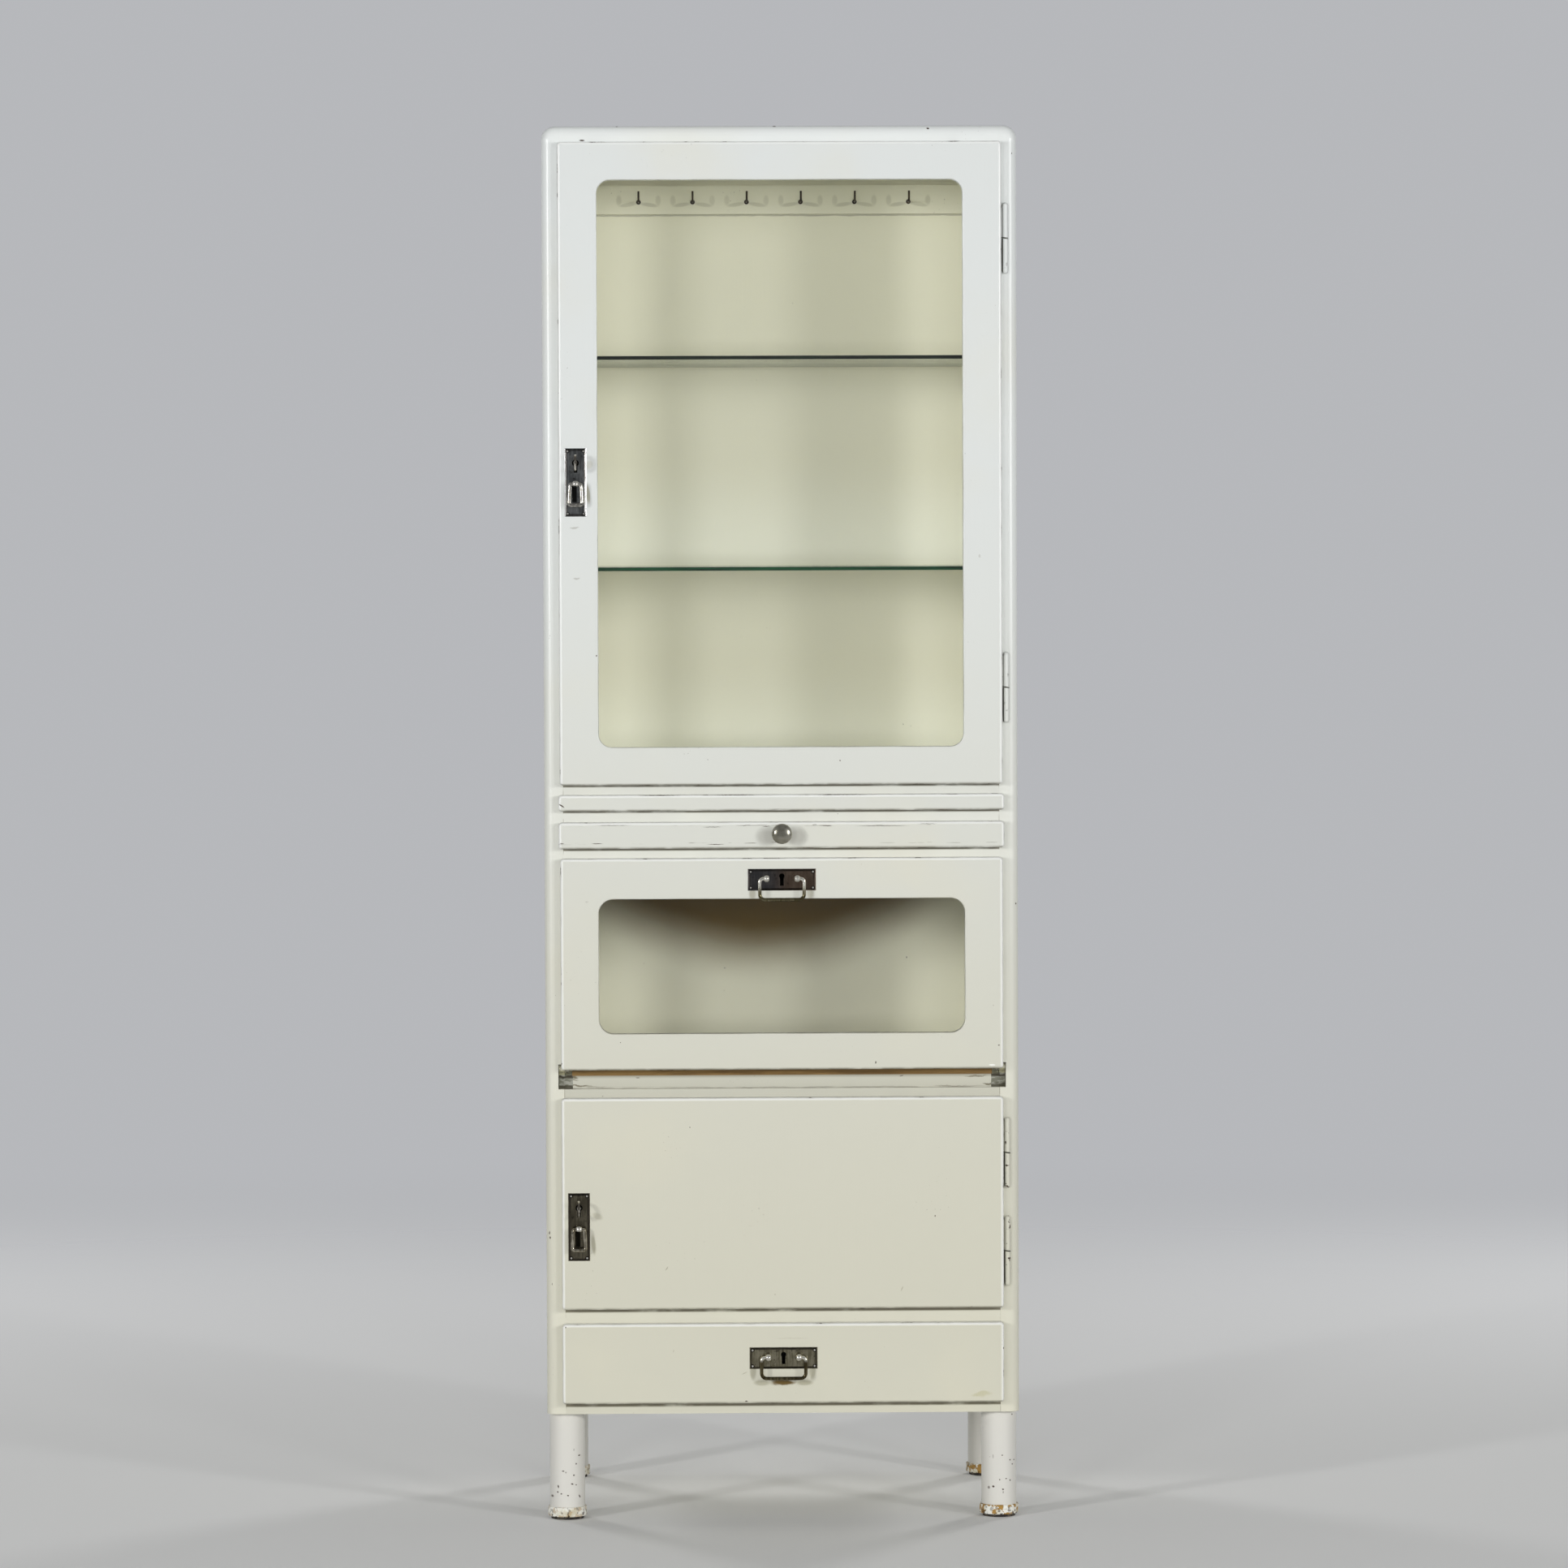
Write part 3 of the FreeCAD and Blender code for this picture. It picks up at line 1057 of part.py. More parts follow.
for side in (-1, 1):
    wall_x = across(side, drawer_inner, half_rebate)
    groove_x = across(side, drawer_inner, half_drawer_bottom)
    wall = block("drawer_side", wall_x, drawer_y, (drawer_floor, drawer_rim_high))
    groove = block("drawer_groove", groove_x, drawer_y, drawer_bottom_z)
    drawer_sides.append(cut("drawer_side_cut", wall, [groove]))
keep("drawer_sides", group("drawer_sides", drawer_sides))
keep("drawer_back", block("drawer_back", (f"-{drawer_inner}", drawer_inner),
                          (f"{drawer_back} - dims.drawer_side_thickness", drawer_back),
                          (drawer_bottom_z[1], drawer_rim_high)))
drawer_bottom_x = (f"-{half_drawer_bottom}", half_drawer_bottom)
keep("drawer_bottom", block("drawer_bottom", drawer_bottom_x, drawer_y, drawer_bottom_z))

# Strike plates: two upright ones in the left side, two flat ones under the boards
strikes = []
for z in (upper_lock_z, lower_lock_z):
    plate = block("strike", across(-1, inside, f"{inside} + dims.strike_thickness"), strike_y,
                  (f"{z} - dims.strike_length / 2", f"{z} + dims.strike_length / 2"))
    slot = block("strike_slot", across(-1, inside, f"{inside} + dims.strike_thickness"), bolt_slot_y,
                 (f"{z} - {half_bolt_slot}", f"{z} + {half_bolt_slot}"))
    strikes.append(cut("strike_cut", plate, [slot]))
for z in (tray_shelf_span[0], lower_floor_span[0]):
    plate = block("strike", ("-dims.strike_length / 2", "dims.strike_length / 2"), strike_y,
                  (z, f"{z} + dims.strike_thickness"))
    slot = block("strike_slot", (f"-{half_bolt_slot}", half_bolt_slot), bolt_slot_y,
                 (z, f"{z} + dims.strike_thickness"))
    strikes.append(cut("strike_cut", plate, [slot]))
keep("strike_plates", group("strike_plates", strikes))

# Check every object before anything is written
doc.recompute()
for thing in doc.Objects:
    if {"Invalid", "Error"} & set(thing.State):
        raise RuntimeError(f"{thing.Label} failed: {thing.State}")
for thing in sub_parts:
    if thing.Shape.isNull() or not thing.Shape.isValid():
        raise RuntimeError(f"{thing.Label} has no valid shape")

os.makedirs("parts", exist_ok=True)
for thing in sub_parts:
    thing.Shape.exportStep(f"parts/{thing.Label}.step")
print(len(sub_parts), "sub-parts written")
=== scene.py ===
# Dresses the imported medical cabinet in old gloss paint, nickel and glass, and lights it for the picture.
import math

import bpy
from mathutils import Matrix, Vector


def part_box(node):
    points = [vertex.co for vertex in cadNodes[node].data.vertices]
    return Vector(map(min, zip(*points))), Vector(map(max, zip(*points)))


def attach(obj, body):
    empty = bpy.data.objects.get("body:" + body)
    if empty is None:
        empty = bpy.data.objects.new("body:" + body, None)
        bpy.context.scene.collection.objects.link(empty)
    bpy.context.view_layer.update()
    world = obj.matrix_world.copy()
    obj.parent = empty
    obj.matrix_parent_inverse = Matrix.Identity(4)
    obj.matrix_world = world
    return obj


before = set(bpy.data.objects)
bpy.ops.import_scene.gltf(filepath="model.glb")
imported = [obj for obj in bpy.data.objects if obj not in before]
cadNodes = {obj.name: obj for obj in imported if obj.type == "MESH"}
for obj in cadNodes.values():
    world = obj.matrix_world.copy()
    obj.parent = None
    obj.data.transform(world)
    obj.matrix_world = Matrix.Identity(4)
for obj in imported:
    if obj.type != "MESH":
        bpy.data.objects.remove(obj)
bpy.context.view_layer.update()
bpy.ops.object.select_all(action="DESELECT")
print("cabinet loaded:", len(cadNodes), "nodes")

# The camera stands eight metres off, a little left of the cabinet, and looks slightly down.
viewpoint = {
    "place": (-0.1491, -8.2602, 1.2237),
    "yaw": -0.0189,
    "pitch": -0.0376,
    "roll": -0.0037,
    "lens": 149.07,
    "sensor": 36.0,
}
bpy.ops.object.camera_add(location=viewpoint["place"])
eye = bpy.context.object
eye.name = "eye"
eye.data.lens = viewpoint["lens"]
eye.data.sensor_width = viewpoint["sensor"]
eye.matrix_world = (
    Matrix.Translation(viewpoint["place"])
    @ Matrix.Rotation(viewpoint["yaw"], 4, "Z")
    @ Matrix.Rotation(math.pi / 2 + viewpoint["pitch"], 4, "X")
    @ Matrix.Rotation(viewpoint["roll"], 4, "Z")
)
bpy.context.scene.camera = eye
bpy.context.scene.view_settings.view_transform = "Standard"
print("camera placed")


def tone(red, green, blue):
    # a colour as it is read off a screen, 0 to 255, made linear
    parts = (red / 255, green / 255, blue / 255)
    return (*(part / 12.92 if part <= 0.04045 else ((part + 0.055) / 1.055) ** 2.4 for part in parts), 1.0)


class Wire:
    # one socket of a node tree, so that shader maths reads as plain sums
    tree = None

    def __init__(self, socket):
        self.socket = socket

    @classmethod
    def node(cls, kind, settings=None, inputs=None, output=0):
        made = cls.tree.nodes.new("ShaderNode" + kind)
        for key, value in (settings or {}).items():
            setattr(made, key, value)
        for key, value in (inputs or {}).items():
            if isinstance(value, Wire):
                cls.tree.links.new(value.socket, made.inputs[key])
            else:
                made.inputs[key].default_value = value
        return cls(made.outputs[output])

    def maths(self, operation, other=0.0):
        return Wire.node("Math", {"operation": operation}, {0: self, 1: other})

    def __add__(self, other):
        return self.maths("ADD", other)

    def __sub__(self, other):
        return self.maths("SUBTRACT", other)

    def __rsub__(self, other):
        return Wire.node("Math", {"operation": "SUBTRACT"}, {0: other, 1: self})

    def __mul__(self, other):
        return self.maths("MULTIPLY", other)

    def __pow__(self, other):
        return self.maths("POWER", other)

    __radd__ = __add__

    def size(self):
        return self.maths("ABSOLUTE")

    def least(self, other):
        return self.maths("MINIMUM", other)

    def most(self, other):
        return self.maths("MAXIMUM", other)

    def rise(self, low, high):
        # 0 at low, 1 at high, smooth between; low may be the larger one
        reach = {"Value": self, "From Min": low, "From Max": high}
        return Wire.node("MapRange", {"interpolation_type": "SMOOTHSTEP"}, reach)

    def parts(self):
        made = Wire.tree.nodes.new("ShaderNodeSeparateXYZ")
        Wire.tree.links.new(self.socket, made.inputs[0])
        return [Wire(out) for out in made.outputs]


def startSkin(name):
    skin = bpy.data.materials.new(name)
    skin.use_nodes = True
    Wire.tree = skin.node_tree
    Wire.tree.nodes.clear()
    return skin, Wire.node("TexCoord", output="Object")


def closeSkin(skin, shader):
    out = Wire.tree.nodes.new("ShaderNodeOutputMaterial")
    Wire.tree.links.new(shader.socket, out.inputs["Surface"])
    return skin


def solidSkin(skin, base, rough, relief, reach, strength, metal=0.0):
    # closes an opaque skin: colour, roughness, and a relief that stands up by reach metres
    bump = Wire.node("Bump", {}, {"Height": relief, "Distance": reach, "Strength": strength})
    inputs = {"Base Color": base, "Metallic": metal, "Roughness": rough, "Normal": bump}
    return closeSkin(skin, Wire.node("BsdfPrincipled", {}, inputs))


def blend(low, high, amount):
    return Wire.node("Mix", {"data_type": "RGBA"}, {0: amount, 6: low, 7: high}, 2)


def noise(spot, scale, detail=2.0, stretch=None, rough=0.5):
    if stretch:
        spot = Wire.node("Mapping", {}, {"Vector": spot, "Scale": stretch})
    return Wire.node("TexNoise", {}, {"Vector": spot, "Scale": scale, "Detail": detail, "Roughness": rough})


def wobble(spot, scale, reach):
    # the same place, pushed about by a noise, so that painted edges come out ragged
    stir = Wire.node("TexNoise", {}, {"Vector": spot, "Scale": scale, "Detail": 3.0}, 1)
    centred = Wire.node("VectorMath", {"operation": "SUBTRACT"}, {0: stir, 1: (0.5, 0.5, 0.5)})
    pushed = Wire.node("VectorMath", {"operation": "SCALE"}, {0: centred, "Scale": reach})
    return Wire.node("VectorMath", {"operation": "ADD"}, {0: spot, 1: pushed})


def stronger(mask, more):
    # the stronger of two masks, the first of which may not be there yet
    return more if mask is None else mask.most(more)


blotDepth = 0.02  # how far a mark reaches into and out of its face


def blot(spot, depth, mark):
    # an ellipse on a face: x, z, half width, half height and tilt, in millimetres and degrees
    x, z, wide, high, tilt = mark
    frameOfMark = {
        "Vector": spot,
        "Location": (x / 1000, depth, z / 1000),
        "Rotation": (0.0, math.radians(tilt), 0.0),
        "Scale": (wide / 1000, blotDepth, high / 1000),
    }
    local = Wire.node("Mapping", {"vector_type": "TEXTURE"}, frameOfMark)
    return Wire.node("VectorMath", {"operation": "LENGTH"}, {0: local}, "Value").rise(1.0, 0.45)


def marked(spot, depth, marks):
    mask = None
    for mark in marks:
        patch = blot(spot, depth, mark[:5])
        if len(mark) > 5:
            patch = patch * mark[5]
        mask = stronger(mask, patch)
    return mask


def windowEdge(x, z, window):
    # distance from the edge of a round-cornered window, negative inside it
    wide, low, high, corner = window
    across = x.size() - (wide - corner)
    along = (z - (low + high) / 2).size() - ((high - low) / 2 - corner)
    outside = (across.most(0.0) ** 2.0 + along.most(0.0) ** 2.0) ** 0.5
    return outside + across.most(along).least(0.0) - corner


paintLook = {
    # high and low tones: the warmer, darker low tone is painted floor bounce and painted lamp falloff
    "high": (213, 216, 214),
    "low": (198, 196, 180),
    "coolFrom": 0.25,
    "coolTo": 1.45,
    "aged": (214, 208, 182),
    "grime": (120, 112, 92),
    "chip": (62, 46, 34),
    "insideHigh": (238, 236, 217),
    "insideLow": (242, 240, 220),
    "bareUnder": (78, 54, 30),
    "facePlane": -0.2045,
    "paintedShade": (84, 76, 50),
    # tone of the painted shadows cast by hooks, rings, keys and bails
    "soft": (146, 142, 118),
    "bore": (12, 11, 9),
    "paintedHighlight": (240, 241, 238),
    "pale": (240, 241, 236),
    "litInside": (253, 253, 238),
    "scratches": (148, 140, 120),
    "smudgesAndShadows": (150, 146, 136),
    "stains": (206, 192, 148),
    # where the inner paint starts: half the width, front, back, top and foot, each with a soft edge
    "innerHalf": (0.2775, 0.2767),
    "innerFront": -0.1868,
    "innerBack": (0.2246, 0.2241),
    "innerTop": (1.7140, 1.7130),
    "innerFoot": (0.150, 0.152),
    # the heights between which the inner tone turns from the low one to the high one
    "innerTurn": (0.83, 0.93),
    # the painted shadows under the fronts sit lower on the rails the lower the front hangs
    "castShadowDrop": 0.0030397,
    "castShadowTop": 1.2237,
    "keyholeHalf": 0.0042,
    "keyholeFoot": 0.0130,
    # how far back each kind of wear, and each painted shade, reaches
    "chipsDeep": (-0.1960, -0.2010),
    "castShadowDeep": (-0.170, -0.174),
    "endsDeep": (-0.180, -0.186),
    "shadeDeep": (-0.1770, -0.1776),
    "boreDeep": (-0.2044, -0.2040),
    "endsFrom": (0.2706, 0.2712),
}
# how ragged each kind of mark is: the scale of its noise and the reach in metres
raggedness = {
    "smudgesAndShadows": (120.0, 0.006),
    "stains": (60.0, 0.010),
    "soft": None,
    "pale": (420.0, 0.0011),
    "scratches": (420.0, 0.0011),
    "chips": (420.0, 0.0011),
}
# lower edges of the fronts: the painted shadows below them lie on the rails behind
frontPieces = ("upper_door_frame", "pull_out_board", "tray_front", "lower_door_panel", "drawer_front")
frontFeet = [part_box(piece)[0].z for piece in frontPieces]


def paintSkin(name, look):
    # old gloss paint: cooler at the top, warmer and darker lower down as painted floor bounce and lamp
    # falloff; chipped along edges and where hands have been
    skin, spot = startSkin(name)
    x, y, z = spot.parts()
    # lift makes a piece's paint lighter or darker all over: lighter on the carcass, partly painted light on
    # rails recessed behind the fronts; darker on the sill strip, painted shade
    lift = look.get("lift", 0)
    tints = (look.get(key, paintLook[key]) for key in ("low", "high"))
    warmDarkLow, cool = (tone(*(part + lift for part in tint)) for tint in tints)
    base = blend(warmDarkLow, cool, z.rise(paintLook["coolFrom"], paintLook["coolTo"]))
    clouds = noise(spot, 4.0, 4.0)
    base = blend(base, tone(*paintLook["aged"]), clouds.rise(0.5, 0.78) * look.get("aged", 0.30))
    if look.get("inside"):
        turn = z.rise(*paintLook["innerTurn"])
        insideTone = blend(tone(*paintLook["insideLow"]), tone(*paintLook["insideHigh"]), turn)
        inFrom = look.get("insideFrom", paintLook["innerFront"])
        within = x.size().rise(*paintLook["innerHalf"]) * y.rise(inFrom - 0.0006, inFrom + 0.0006)
        within = within * y.rise(*paintLook["innerBack"])
        within = within * z.rise(*paintLook["innerTop"]) * z.rise(*paintLook["innerFoot"])
        if "bareBelow" in look:
            bare = z.rise(look["bareBelow"], look["bareBelow"] - 0.0008)
            insideTone = blend(insideTone, tone(*paintLook["bareUnder"]), bare)
        for foot in look.get("shelfGlow", ()):
            # painted light just above each shelf, where light off the glass gathers low in each bay
            lit = z.rise(foot + 0.150, foot + 0.020) * z.rise(foot - 0.001, foot + 0.002)
            insideTone = blend(insideTone, tone(*paintLook["litInside"]), lit)
        if "arch" in look:
            # painted shadow, brown, hanging down in an arch at the top of the flap's compartment
            middle, top, curve, reach, core = look["arch"]
            drop = (x - middle) ** 2.0 * curve + (top - z) + (noise(spot, 14.0, 3.0) - 0.5) * 0.012
            archShadow = drop.rise(reach, core) * z.rise(top + 0.09, top + 0.07)
            insideTone = blend(insideTone, tone(*look["archTone"]), archShadow)
        base = blend(base, insideTone, within)
    strokes = noise(spot, 1.0, 3.0, look.get("strokes", (260.0, 260.0, 9.0)))
    orange = noise(spot, 240.0, 2.0)
    relief = strokes * 0.6 + orange * 0.25
    rough = 0.23 + clouds * 0.10 + strokes * 0.06
    hurt = None
    if "rim" in look:
        low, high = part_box(look["rim"])
        upperRim = (x - low.x).least(high.x - x).least(high.z - z)
        rim = upperRim.least(z - low.z)
        patches = noise(spot, 38.0, 3.0)
        # painted highlight along the top and side edges of the front, where gloss paint would catch the
        # lamps
        base = blend(base, tone(*paintLook["paintedHighlight"]), upperRim.rise(0.0042, 0.0016) * 0.70)
        # painted shade along the lower edge of the front, which faces away from the lamps
        foot = (z - low.z).rise(0.0036, 0.0002) * 0.62
        base = blend(base, tone(*paintLook["paintedShade"]), foot * patches.rise(0.26, 0.56))
        grime = rim.rise(0.0024, 0.0) * patches.rise(0.44, 0.74) * 0.30
        base = blend(base, tone(*paintLook["grime"]), grime)
        ragged = rim + (noise(spot, 300.0, 3.0) - 0.5) * 0.0022
        hurt = ragged.rise(0.0007, 0.0002) * patches.rise(0.63, 0.66)
        hurt = hurt * y.rise(*paintLook["chipsDeep"]) * 0.8
    if "window" in look:
        edge = windowEdge(x, z, look["window"]).size()
        line = edge.rise(0.0018, 0.0) * noise(spot, 16.0, 3.0).rise(0.36, 0.66) * 0.34
        base = blend(base, tone(*paintLook["grime"]), line)
    # dark lines across a face: cracks in the paint, and on the back panel a painted shadow line under the
    # hook rail
    if "cracksAndShadeLines" in look:
        for level, reach, amount, strength in look["cracksAndShadeLines"]:
            split = noise(spot, 1.0, 2.0, (26.0, 1.0, 900.0)).rise(1 - amount, 1.02 - amount)
            band = (z + (noise(spot, 60.0, 2.0) - 0.5) * 0.002 - level).size().rise(reach, reach * 0.3)
            hurt = stronger(hurt, split * band * strength)
    specks = noise(spot, 420.0, 1.0).rise(0.74, 0.77) * noise(spot, 11.0, 2.0).rise(0.60, 0.66)
    hurt = stronger(hurt, specks * look.get("specks", 0.6))
    if look.get("ends"):
        # painted shadows that the fronts cast on the rails below them
        castShadow = None
        for foot in frontFeet:
            end = foot - paintLook["castShadowDrop"] * (paintLook["castShadowTop"] - foot)
            band = z.rise(end - 0.0026, end - 0.0006) * z.rise(foot + 0.0030, foot + 0.0010)
            castShadow = stronger(castShadow, band)
        castShadow = castShadow * y.rise(*paintLook["castShadowDeep"]) * noise(spot, 24.0, 3.0).rise(0.22, 0.50) * 0.80
        base = blend(base, tone(*paintLook["paintedShade"]), castShadow)
        ends = x.size().rise(*paintLook["endsFrom"]) * y.rise(*paintLook["endsDeep"])
        ends = ends * noise(spot, 70.0, 2.0).rise(0.40, 0.62)
        base = blend(base, tone(*paintLook["grime"]), ends * look["ends"])
    if "shade" in look:
        shaded = z.rise(*look["shade"]) * y.rise(*paintLook["shadeDeep"]) * 0.75
        base = blend(base, tone(*paintLook["grime"]), shaded)
    depth = look.get("depth", paintLook["facePlane"])
    marks = {
        layer: marked(wobble(spot, *stir) if stir else spot, depth, look[layer])
        for layer, stir in raggedness.items()
        if layer in look
    }
    if "chips" in marks:
        hurt = hurt.most(marks.pop("chips"))
    for layer, mask in marks.items():
        base = blend(base, tone(*look.get(layer + "Tone", paintLook[layer])), mask)
    base = blend(base, tone(*paintLook["chip"]), hurt)
    if "bore" in look:
        # painted shade: the walls of the keyhole made near black, as a deep hole looks
        middle, level = look["bore"]
        half, foot = paintLook["keyholeHalf"], level - paintLook["keyholeFoot"]
        bored = (x - middle).size().rise(half, half - 0.0002) * z.rise(foot, foot + 0.0002)
        bored = bored * z.rise(level + half, level + half - 0.0002) * y.rise(*paintLook["boreDeep"])
        base = blend(base, tone(*paintLook["bore"]), bored)
    return solidSkin(skin, base, rough + hurt * 0.35, relief - hurt * 1.2, 0.00035, 0.35)


